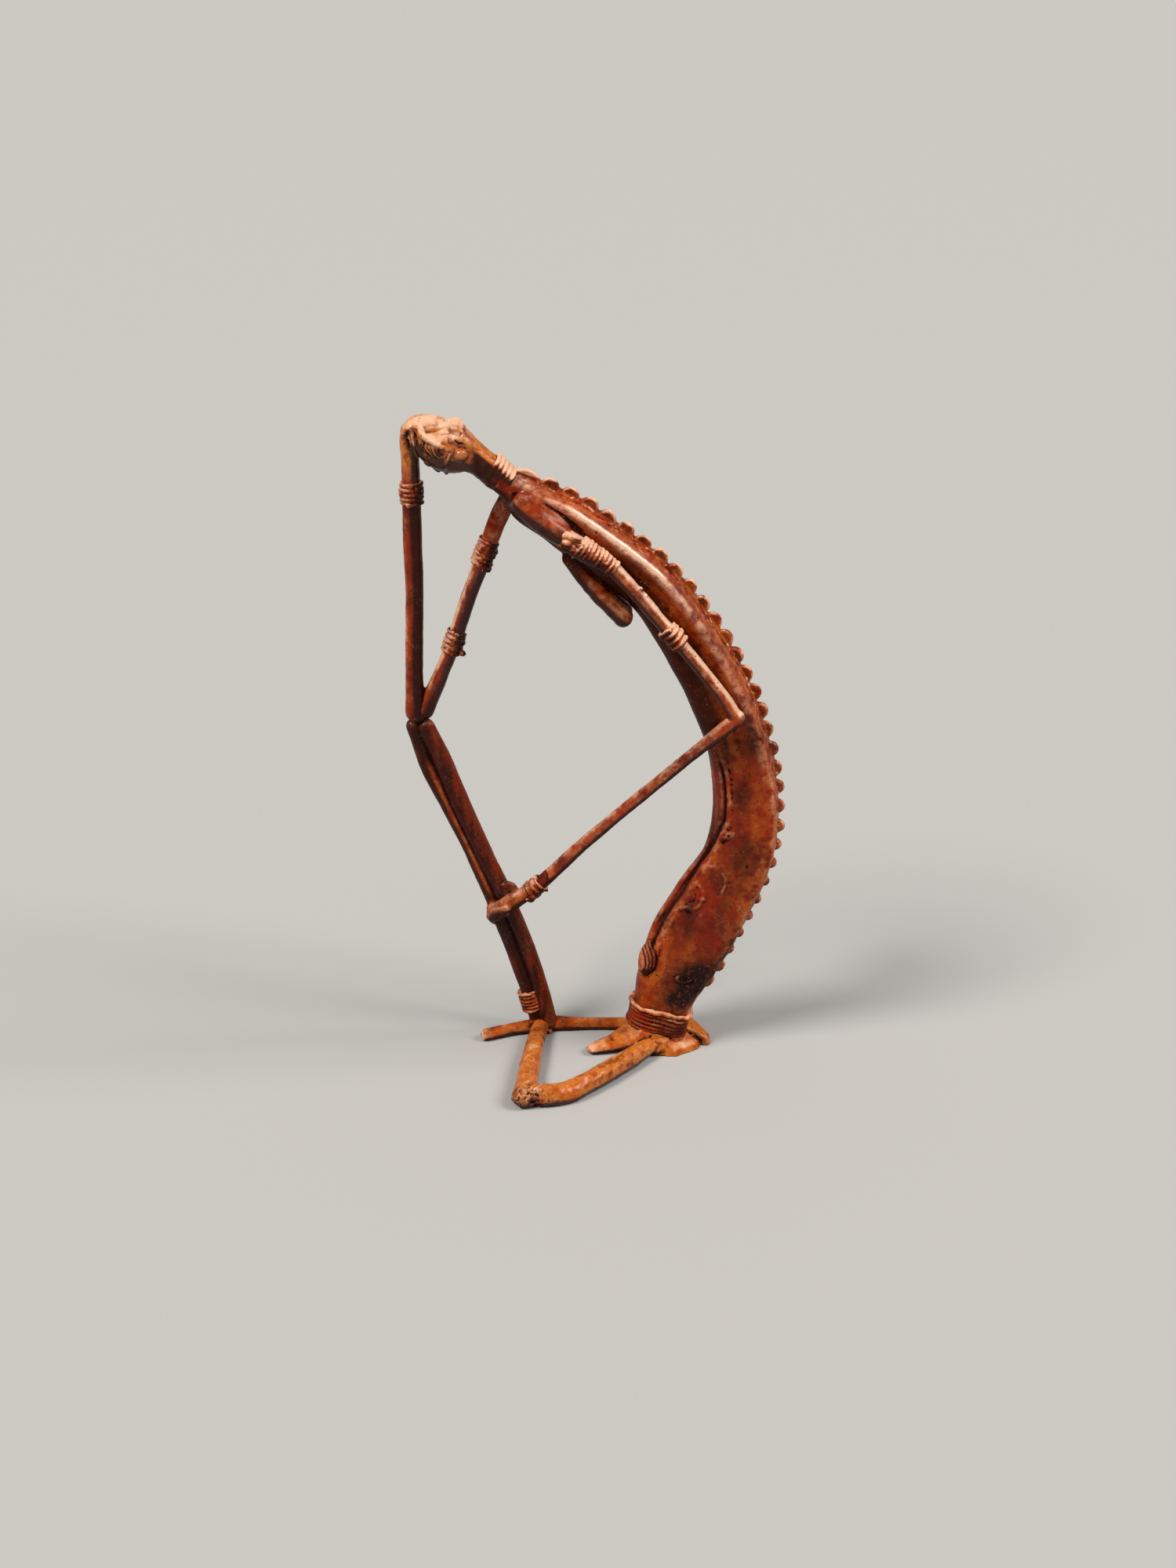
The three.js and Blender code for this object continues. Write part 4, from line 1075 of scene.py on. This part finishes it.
wax = bmesh.new()
rod(wax, *RAISED_ARM, span=(0.28, 1.0))
rod(wax, *RAISED_FOREARM, span=(0.0, 0.715))
egg(wax, (-73.4, 6.2, 155.6), (4.6, 4.2, 3.6), 0.0)
raised_arm = fuse("raised_arm", wax, ARM_VOXEL)
places, normals = surface(raised_arm.data)
push = 0.22 * wax_noise(places, (6.0, 6.0, 11.0)) + 0.1 * wax_noise(places, 2.2, 2)
set_places(raised_arm.data, places + normals * push[:, None])
# Painted light and shade: paler and more ochre on faces turned up and left, darker on faces turned right.
lit = smooth_step(0.25, 0.95, -normals[:, 0] * 0.9 + normals[:, 2] * 0.4)
upper_arm = smooth_step(0.0, 6.0, places[:, 0] + 70.0)
streaks = wax_noise(places, (2.4, 2.4, 16.0), 2)
weather(
    raised_arm,
    pale=np.clip(lit * (0.34 + 0.6 * upper_arm) * (0.9 + 1.0 * streaks), 0, 1),
    ochre=np.clip(0.5 * lit + 0.5 * streaks, 0, 1),
    shade=np.clip(smooth_step(-0.6, 0.25, normals[:, 0]) * (1.15 - 0.4 * upper_arm) + 0.3 * streaks, 0, 1),
    gloss=0.4 + 0.4 * upper_arm,
)
put_in_frame(raised_arm, patina_finish("raised_arm_patina", worn=0.4, earth=0.3, coat=0.6))

# Lowered arm
# The near arm lies along the flank to a sharp elbow at the loins, and the thinner forearm crosses
# the open lap to the shins. Small nubs of wax stand along its upper edge.

LOWERED_FOREARM = (
    [(62.4, -17.2, 162.2), (48.5, -15.6, 149.8), (33.5, -12.6, 135.0), (16.9, -9.8, 119.0),
     (-3.4, -5.6, 98.4), (-22.4, -1.4, 77.6), (-33.0, 0.8, 69.4), (-41.8, 2.6, 63.3)],
    [3.2, 2.7, 2.6, 2.7, 2.8, 3.1, 3.8, 3.6],
)
NUBS = [  # x, z and size
    (21.8, 219.4, 1.1), (24.0, 216.6, 0.9), (28.4, 210.8, 1.2), (31.2, 207.2, 1.0), (47.0, 188.6, 0.8),
]

wax = bmesh.new()
rod(wax, *LOWERED_ARM, span=(0.17, 1.0))
rod(wax, *LOWERED_FOREARM, span=(0.0, 0.8))
egg(wax, (62.6, -17.2, 163.4), (3.4, 3.2, 3.6), 0.0)
for x, z, size in NUBS:
    egg(wax, (x, -14.6, z), (size, size * 0.8, size * 0.8), 0.8, sides=10)
lowered_arm = fuse("lowered_arm", wax, ARM_VOXEL)
places, normals = surface(lowered_arm.data)
push = 0.2 * wax_noise(places, 8.0) + 0.1 * wax_noise(places, 2.2, 2)
set_places(lowered_arm.data, places + normals * push[:, None])
# Painted light on the upper faces, painted shade on the lower ones.
lit_top = smooth_step(0.0, 0.7, normals[:, 2])
streaks = wax_noise(np.column_stack([places[:, 0] * 0.4, places[:, 1], places[:, 2] * 0.4]), 2.2, 2)
on_upper_arm = smooth_step(160.0, 166.0, places[:, 2])
weather(
    lowered_arm,
    pale=np.clip(lit_top * (0.5 + 0.75 * on_upper_arm) * (0.95 + 0.5 * streaks), 0, 1),
    ochre=np.clip(0.35 + 0.6 * wax_noise(places, 7.0, 2), 0, 1),
    shade=np.clip(smooth_step(0.2, -0.5, normals[:, 2]) * (0.6 + 0.35 * on_upper_arm), 0, 1),
    gloss=0.5 + 0.5 * lit_top,
)
put_in_frame(lowered_arm, patina_finish("lowered_arm_patina", worn=0.45, earth=0.3, coat=0.7))

# Legs and lowered hand
# Two straight rods pressed side by side, with painted shade in the groove between them and small round
# knees.
# The lowered hand is a flat mitt that wraps the shins, its fingers curled round the front one.

LEG_VOXEL = 0.44
FRONT_LEG = (
    [(-75.6, 7.4, 150.0), (-70.0, 7.8, 131.6), (-60.8, 8.2, 111.2), (-51.6, 8.4, 90.2), (-42.8, 8.6, 67.2),
     (-35.4, 8.8, 45.7), (-29.0, 8.8, 25.9), (-24.9, 8.8, 11.8), (-22.6, 8.8, 3.0)],
    [3.1, 3.5, 3.5, 3.4, 3.3, 3.3, 3.3, 3.3, 3.7],
)
REAR_LEG = (
    [(-69.8, 5.6, 150.2), (-63.8, 6.0, 136.2), (-55.0, 6.4, 112.2), (-45.8, 6.8, 89.4), (-36.2, 7.2, 66.3),
     (-28.8, 7.6, 46.7), (-22.4, 8.0, 24.9), (-18.2, 8.4, 4.0)],
    [3.6, 4.2, 4.1, 3.9, 3.8, 3.6, 3.6, 4.2],
)
HAND_BACK = (
    [(-25.0, -1.2, 75.6), (-32.0, -1.0, 70.6), (-38.6, 0.4, 65.6), (-42.2, 4.0, 63.0)],
    [3.2, 3.9, 3.9, 3.2],
)
CURLED_FINGER = [(-36.0, -1.8, 66.6), (-40.6, -0.4, 63.6), (-43.8, 4.4, 61.8), (-43.6, 9.6, 61.4)]
LAST_FINGER = [(-36.0, -2.2, 67.0), (-41.0, -0.8, 64.0), (-42.6, 1.6, 60.4), (-41.4, 4.0, 57.8)]

wax = bmesh.new()
rod(wax, *FRONT_LEG)
rod(wax, *REAR_LEG)
rod(wax, *LOWERED_FOREARM, span=(0.77, 0.92))
rod(wax, *HAND_BACK, flatten=0.75)
for lift in (-2.4, -0.4, 1.6):
    rod(wax, [(x, y, z + lift) for x, y, z in CURLED_FINGER], [1.5, 1.4], step=0.6)
rod(wax, LAST_FINGER, [2.2, 1.7], step=0.6)
egg(wax, (-35.4, 2.6, 73.4), (5.0, 2.6, 4.4), 0.7)
legs = fuse("legs_and_lowered_hand", wax, LEG_VOXEL, 2)
places, normals = surface(legs.data)
push = 0.2 * wax_noise(places, (7.0, 7.0, 14.0)) + 0.1 * wax_noise(places, 2.4, 2)
push += 0.3 * smooth_step(20.0, 4.0, places[:, 2]) * wax_noise(places, 2.0, 2)
push += 0.3 * mound(places, (-41.5, 0.0, 84.0), (5.0, 9.0, 8.0)) * wax_noise(places, 1.6, 2)
set_places(legs.data, places + normals * push[:, None])
view = side_view(places, 0.0)
between_legs = [((x0 + x1) / 2 - 0.5, 0.0, (z0 + z1) / 2 - 4.2)
                for (x0, _, z0), (x1, _, z1) in zip(FRONT_LEG[0], REAR_LEG[0])]
# Painted shade in the groove between the legs, and a painted highlight along the front shin beside it.
groove_shade = near_line(view, between_legs, 8.0, 2.4)
shin_highlight = near_line(view, [(x - 1.3, y, z) for x, y, z in between_legs], 8.0, 1.3)
shin_highlight *= smooth_step(142.0, 126.0, places[:, 2]) * smooth_step(64.0, 74.0, places[:, 2])
hand_mask = near_line(places, HAND_BACK[0], 9.0, 4.6, 4)
# Painted light on faces turned up and to the right.
edge = smooth_step(0.1, 0.9, normals[:, 2] * 0.5 + normals[:, 0] * 0.5 - normals[:, 1] * 0.2)
streaks = wax_noise(places, (2.4, 2.4, 18.0), 3)
knees = smooth_step(143.0, 149.0, places[:, 2])
# Painted light on the tops of the hand and knees; the legs are darkened all over, most in the groove and
# under the hand.
pale = 0.6 * hand_mask * smooth_step(-0.05, 0.6, normals[:, 2])
pale += 0.15 * knees * smooth_step(0.0, 0.6, normals[:, 2])
pale += 0.12 * edge + 0.2 * shin_highlight * (0.6 + 2.4 * streaks)
ochre = edge * (0.35 + 0.45 * streaks) + 0.5 * smooth_step(22.0, 6.0, places[:, 2])
ochre += shin_highlight * (0.9 + 1.4 * streaks) + 0.9 * hand_mask
shade = (0.75 * groove_shade + 0.72 + 0.4 * streaks) * (1 - hand_mask)
shade *= (1 - 0.5 * edge) * (1 - 0.8 * shin_highlight)
shade += 0.8 * hand_mask * smooth_step(0.2, -0.4, normals[:, 2])
weather(legs, pale=np.clip(pale, 0, 1), ochre=np.clip(ochre, 0, 1), shade=np.clip(shade, 0, 1), gloss=0.45)
put_in_frame(legs, patina_finish("leg_patina", worn=0.35, earth=0.25, coat=0.5))

# Foot frame and tail fin
# The legs stand on a triangle of thick rods lying on the floor, crumbled at its near corner, with
# a short stub that points forward. The trunk's tail is spread flat in four pointed lobes.

FOOT_VOXEL = 0.46
CORNER = (-27.6, -58.4, 4.0)
CORNER_LIMIT = -63.6  # no crumb of the corner stands out beyond this y
CORNER_CRUMBS = 16
FOOT_CRUMBS = 22
LEG_FOOT = (-21.6, 7.6, 3.2)
STUB = ([(-21.0, 8.4, 3.0), (-34.0, 4.4, 2.6), (-46.4, -0.8, 2.5)], [3.4, 3.0, 2.8])
REAR_STRUT = ([(-21.0, 8.8, 3.2), (0.0, 9.6, 2.5), (27.0, 9.8, 2.5)], [3.6, 2.9, 2.9])
SIDE_STRUT = ([LEG_FOOT, (-25.0, -22.0, 3.7), CORNER], [3.8, 4.4, 5.3])
FRONT_STRUT = (
    [CORNER, (-10.2, -55.0, 4.0), (1.4, -44.8, 4.1), (13.2, -31.6, 4.3), (22.4, -20.8, 4.4),
     (28.0, -13.6, 4.2)],
    [5.2, 4.9, 4.8, 4.6, 4.3, 3.6],
)
TONGUE = (
    [(26.0, -3.0, 6.6), (13.0, -8.8, 3.7), (5.6, -11.8, 2.6), (1.2, -13.6, 2.1)],
    [5.4, 3.3, 2.4, 1.6],
)
TAIL_CENTRE = np.array([31.0, 0.0])
TAIL_LOBES = [((29.0, 22.0), 18.0, 8.0), ((50.0, 8.0), 12.0, 14.0)]  # tip x and y, width, height at the foot
LOBE_TIP_HEIGHT = 2.2
TAIL_PLATES = [  # corners of the two broken plates of wax at the front, on the floor and above it
    [(17, -13.5, 0), (27, -16.2, 0), (39.7, -16.8, 0), (49.8, -9.8, 0), (51.2, -6, 0), (40, 0, 0),
     (21, -14.6, 5.0), (27, -15.4, 4.0), (39.2, -16.2, 2.8), (49.0, -9.4, 2.6), (50.4, -6.2, 3.0),
     (43, -2, 9), (34, -6, 13.5), (24, -10, 12)],
    [(36, -4, 0), (54.4, -6.8, 0), (55.4, -3, 0), (47, 9, 0), (36, 10, 0), (54, -6.4, 3.6), (54.8, -3, 4.2),
     (46, 8.4, 8.5), (39, 4, 15), (37, -4, 13)],
]


def tail_lobe(wax, tip, width, rise):
    share = np.concatenate([[0.1], np.linspace(0.14, 0.995, 40)])
    flat = TAIL_CENTRE + (np.array(tip) - TAIL_CENTRE) * share[:, None]
    centres = np.column_stack([flat, np.zeros(len(share))])
    along = unit(np.append(np.array(tip) - TAIL_CENTRE, 0.0))
    across = np.array([-along[1], along[0], 0.0])
    height = rise + (LOBE_TIP_HEIGHT - rise) * share**0.8
    half = 0.5 * width * np.sqrt(1 - share**4)
    angle = np.linspace(0, 2 * np.pi, 32, endpoint=False)
    rings = centres[:, None] + np.cos(angle)[None, :, None] * across * half[:, None, None]
    rings[:, :, 2] += np.sin(angle)[None] * height[:, None]
    loft(wax, capped(rings))


def plate(wax, corners):
    """Adds the flat-sided block that spans the corners."""
    verts = [wax.verts.new(corner) for corner in corners]
    made = bmesh.ops.convex_hull(wax, input=verts)
    inside = set(made["geom_interior"] + made["geom_unused"])
    bmesh.ops.delete(wax, geom=list(inside), context="VERTS")


wax = bmesh.new()
rings = trunk_rings(np.linspace(0.87, 1.0, 60))
loft(wax, capped(rings))
egg(wax, (31.0, -1.0, 1.0), (16.5, 13.5, 9.5))
egg(wax, (32.0, -9.0, 3.2), (9.0, 7.4, 5.8), pitch=0.1, yaw=0.7)
rod(wax, *TONGUE, flatten=1.9)
for tip, width, rise in TAIL_LOBES:
    tail_lobe(wax, tip, width, rise)
for corners in TAIL_PLATES:
    plate(wax, corners)
for points, radii in (STUB, REAR_STRUT, SIDE_STRUT, FRONT_STRUT):
    rod(wax, points, radii, sides=28)
for _ in range(CORNER_CRUMBS):
    spot = (-27.0 + dice.uniform(-5.0, 7.0), -59.6 + dice.uniform(-2.0, 1.4), dice.uniform(0.8, 6.0))
    size = dice.uniform(0.9, 2.1)
    egg(wax, spot, (size * 1.3, size, size * 0.8), yaw=dice.uniform(0, 3.0), sides=10)
for _ in range(FOOT_CRUMBS):
    spot = (-20.0 + dice.uniform(-3.2, 3.2), 5.8 + dice.uniform(-1.4, 2.0), dice.uniform(1.0, 5.6))
    size = dice.uniform(0.7, 1.3)
    egg(wax, spot, (size, size, size), sides=10)
feet = fuse("foot_frame_and_tail_fin", wax, FOOT_VOXEL)
places, normals = surface(feet.data)
strut_gap, _ = along_line(places, FRONT_STRUT[0], 12.0)
off_strut = smooth_step(4.6, 5.8, strut_gap)
fin = smooth_step(-4.0, 2.0, places[:, 0]) * smooth_step(-22.0, -18.0, places[:, 1]) * off_strut
fin *= 1 - band(places[:, 1], 9.0, 4.0) * smooth_step(18.0, 12.0, places[:, 0])
bark = (1 - fin) * smooth_step(0.0, -20.0, places[:, 1])
push = 0.25 * wax_noise(places, 7.0) + 0.12 * wax_noise(places, 2.2, 2)
crumbled = mound(places, (-26.5, -60.6, 3.4), (9.0, 4.6, 6.0))
x, y, z = places.T
across_bark = np.column_stack([x * 1.3 - y * 0.9, x * 0.5 + y * 0.5, z])
flakes = wax_noise(across_bark, (2.4, 6.0, 4.0), 2, shift=2.0)
on_front_strut = smooth_step(-22.0, -14.0, places[:, 0])
push += bark * ((0.12 + 0.16 * on_front_strut) * flakes + 0.12 * wax_noise(places, 1.4, 2))
broken = 1.7 * wax_noise(places, 3.0, 3, shift=4.0) + 0.7 * wax_noise(places, 1.5, 2) - 0.6
push += np.clip(crumbled * 1.6, 0, 1) * broken
push += fin * (0.35 * wax_noise(places, 5.0, 2, shift=1.5) + 0.12 * wax_noise(places, 1.5, 2))
places += normals * push[:, None]
forward = unit(np.array([-12.4, -5.2, 0.0]))
beyond = np.maximum((places - STUB[0][0]) @ forward - 28.6 - 0.4 * wax_noise(places, 2.0), 0)
places -= np.where(places[:, 0] < -40.0, beyond, 0)[:, None] * forward
places[:, 1] = np.maximum(places[:, 1], CORNER_LIMIT)
set_places(feet.data, places)
# Painted light on up-facing faces of the fin and struts, painted shade on down-facing faces; the rear parts
# are also darker in patches.
up = smooth_step(0.2, 0.9, normals[:, 2])
pale = fin * up * (0.2 + 0.5 * wax_noise(places, 6.0, 2))
pale += 0.5 * crumbled * smooth_step(0.1, 0.6, wax_noise(places, 2.0, 2))
pale += 0.3 * bark * smooth_step(0.5, 1.0, normals[:, 2]) * smooth_step(0.0, 0.5, flakes)
pale += mound(places, (-48.0, -1.4, 2.5), (1.6, 4.0, 4.0), 0.9)
pale += mound(places, (1.4, -14.0, 2.5), (2.6, 5.0, 4.0), 0.4)
pale += 0.3 * up * mound(places, (40.0, -11.0, 5.0), (10.0, 6.0, 9.0)) + 0.1 * bark * up
shade = 0.8 * smooth_step(0.25, -0.5, normals[:, 2])
shade += 0.5 * (1 - fin - bark) * (0.4 + wax_noise(places, 5.0))
weather(
    feet,
    pale=np.clip(pale, 0, 1),
    ochre=np.clip(0.45 + 0.9 * bark + 0.6 * fin + 0.5 * wax_noise(places, 9.0, 2, shift=1.0), 0, 1.5),
    stain=np.clip(crumbled * (0.7 + 1.4 * wax_noise(places, 2.4, 2, shift=6.0)), 0, 0.9),
    shade=np.clip(shade, 0, 1),
    gloss=0.3 + 0.5 * bark,
)
put_in_frame(feet, patina_finish("foot_patina", worn=0.45, earth=0.7, grain=0.9,
                                 rust=(0.42, 0.06, 0.006, 1.0), ochre=(0.53, 0.14, 0.015, 1.0), coat=0.6))

# Bands of wound thread
# Wax thread wound round the arms, the wrists and one ankle, each band a few turns that lie a
# little askew over a sleeve of wax, with lumps pressed on. The near arm's upper band has a knob.

BAND_VOXEL = 0.3
SLEEVE_OVER = 0.4  # share of the thread's radius that the sleeve of wax fills between the turns
BANDS = [  # name, rod, share from and to, turns, thread radius, sleeve at both ends, how pale
    ("raised_arm_upper_band", RAISED_ARM, 0.222, 0.336, 6.0, 0.8, (0.5, 0.7), 0.7),
    ("raised_arm_lower_band", RAISED_ARM, 0.63, 0.725, 4.5, 0.95, (0.6, 0.6), 0.8),
    ("raised_wrist_band", RAISED_FOREARM, 0.683, 0.752, 4.6, 0.8, (0.7, 0.7), 0.7),
    ("lowered_arm_upper_band", LOWERED_ARM, 0.225, 0.365, 9.5, 0.62, (0.9, 0.35), 1.0),
    ("lowered_arm_lower_band", LOWERED_ARM, 0.625, 0.7, 3.5, 1.0, (1.0, 0.7), 1.0),
    ("lowered_wrist_band", LOWERED_FOREARM, 0.812, 0.872, 3.0, 0.9, (0.7, 0.5), 0.7),
    ("anklet", FRONT_LEG, 0.885, 0.945, 5.5, 0.62, (1.5, 1.5), 0.5),
]
SMALL_LUMPS = 9  # on every band but the anklet
BAND_KNOTS = {  # larger lumps pressed on a band: place and size
    "lowered_arm_upper_band": [
        ((-8.4, -14.6, 240.6), 3.6), ((-6.4, -15.2, 236.8), 3.0), ((-9.8, -14.4, 237.6), 3.0),
        ((-9.8, -12.6, 242.4), 2.8), ((-4.6, -14.4, 240.0), 2.8), ((-4.4, -15.8, 234.6), 2.2),
        ((-8.8, -16.6, 239.2), 2.2),
    ],
    "lowered_arm_lower_band": [
        ((31.4, -16.2, 198.6), 2.0), ((33.4, -17.2, 200.4), 2.0), ((38.6, -18.0, 196.4), 1.6),
        ((36.6, -17.0, 201.0), 1.6),
    ],
    "raised_arm_upper_band": [((-44.8, 5.0, 229.8), 1.3), ((-47.8, 4.6, 220.8), 1.1)],
    "raised_arm_lower_band": [((-53.6, 5.0, 184.2), 1.6)],
    "lowered_wrist_band": [((-24.6, -4.0, 73.6), 1.7)],
    "anklet": [((-27.8, 5.0, 19.4), 1.6), ((-25.6, 5.2, 16.2), 1.5)],
}


def wind(wax, limb, start, end, turns, thread, sleeve):
    """Adds a thread wound round a limb, and a sleeve of wax under it."""
    points, radii = limb
    centres, tangents, u, v, radius = rod_frame(points, radii, (start, end), 0.12)
    angle = np.linspace(0, 2 * np.pi * turns, len(centres)) + 1.3
    outward = np.cos(angle)[:, None] * u + np.sin(angle)[:, None] * v
    wobble = 1 + 0.03 * np.sin(angle * 0.63) + 0.03 * np.sin(angle * 2.7)
    askew = tangents * (0.5 * np.sin(angle + 0.8))[:, None]
    raised = radius + np.linspace(*sleeve, len(centres))
    path = centres + outward * (raised * wobble)[:, None] + askew
    thickness = thread * (1 + 0.22 * np.sin(angle * 1.7))
    rings = rings_round(path, outward, tangents, thickness, 10)
    loft(wax, capped(rings))
    centres, tangents, u, v, radius = rod_frame(points, radii, (start, end), 0.6)
    thickness = radius + np.linspace(*sleeve, len(centres)) + SLEEVE_OVER * thread
    loft(wax, capped(rings_round(centres, u, v, thickness, 20)))


for name, limb, start, end, turns, thread, sleeve, paleness in BANDS:
    wax = bmesh.new()
    wind(wax, limb, start, end, turns, thread, sleeve)
    centres, _, u, v, radius = rod_frame(*limb, (start, end))
    for _ in range(0 if name == "anklet" else SMALL_LUMPS):
        pick, turn = dice.integers(len(centres)), dice.uniform(0, 2 * np.pi)
        spot = centres[pick] + (radius[pick] + sleeve[1]) * (np.cos(turn) * u[pick] + np.sin(turn) * v[pick])
        egg(wax, spot, (dice.uniform(0.9, 1.7), 0.9, 0.9), 0.7, sides=10)
    for place, size in BAND_KNOTS.get(name, []):
        egg(wax, place, (size * 1.15, size * 0.8, size * 0.9), 0.7, sides=16)
    thread_band = fuse(name, wax, BAND_VOXEL, 2)
    places, normals = surface(thread_band.data)
    push = 0.42 * wax_noise(places, 2.3, 3) - 0.1
    set_places(thread_band.data, places + normals * push[:, None])
    on_far_arm = name.startswith("raised")
    # Painted light on faces turned up, and also left on the far arm; painted shade on faces turned right on
    # the far arm and down elsewhere.
    lit = smooth_step(0.0, 0.8, normals[:, 2] - 0.7 * normals[:, 0] if on_far_arm else normals[:, 2])
    shaded_side = smooth_step(-0.2, 0.6, normals[:, 0]) if on_far_arm else smooth_step(0.25, -0.35, normals[:, 2])
    pale = 0.85 * paleness * np.clip(0.1 + lit, 0, 1) * (1 - 0.8 * shaded_side)
    weather(thread_band, pale=pale, ochre=0.5, shade=shaded_side, gloss=0.6)
    put_in_frame(thread_band, patina_finish(name + "_patina", worn=0.6 * paleness, earth=0.4, grain=1.2))
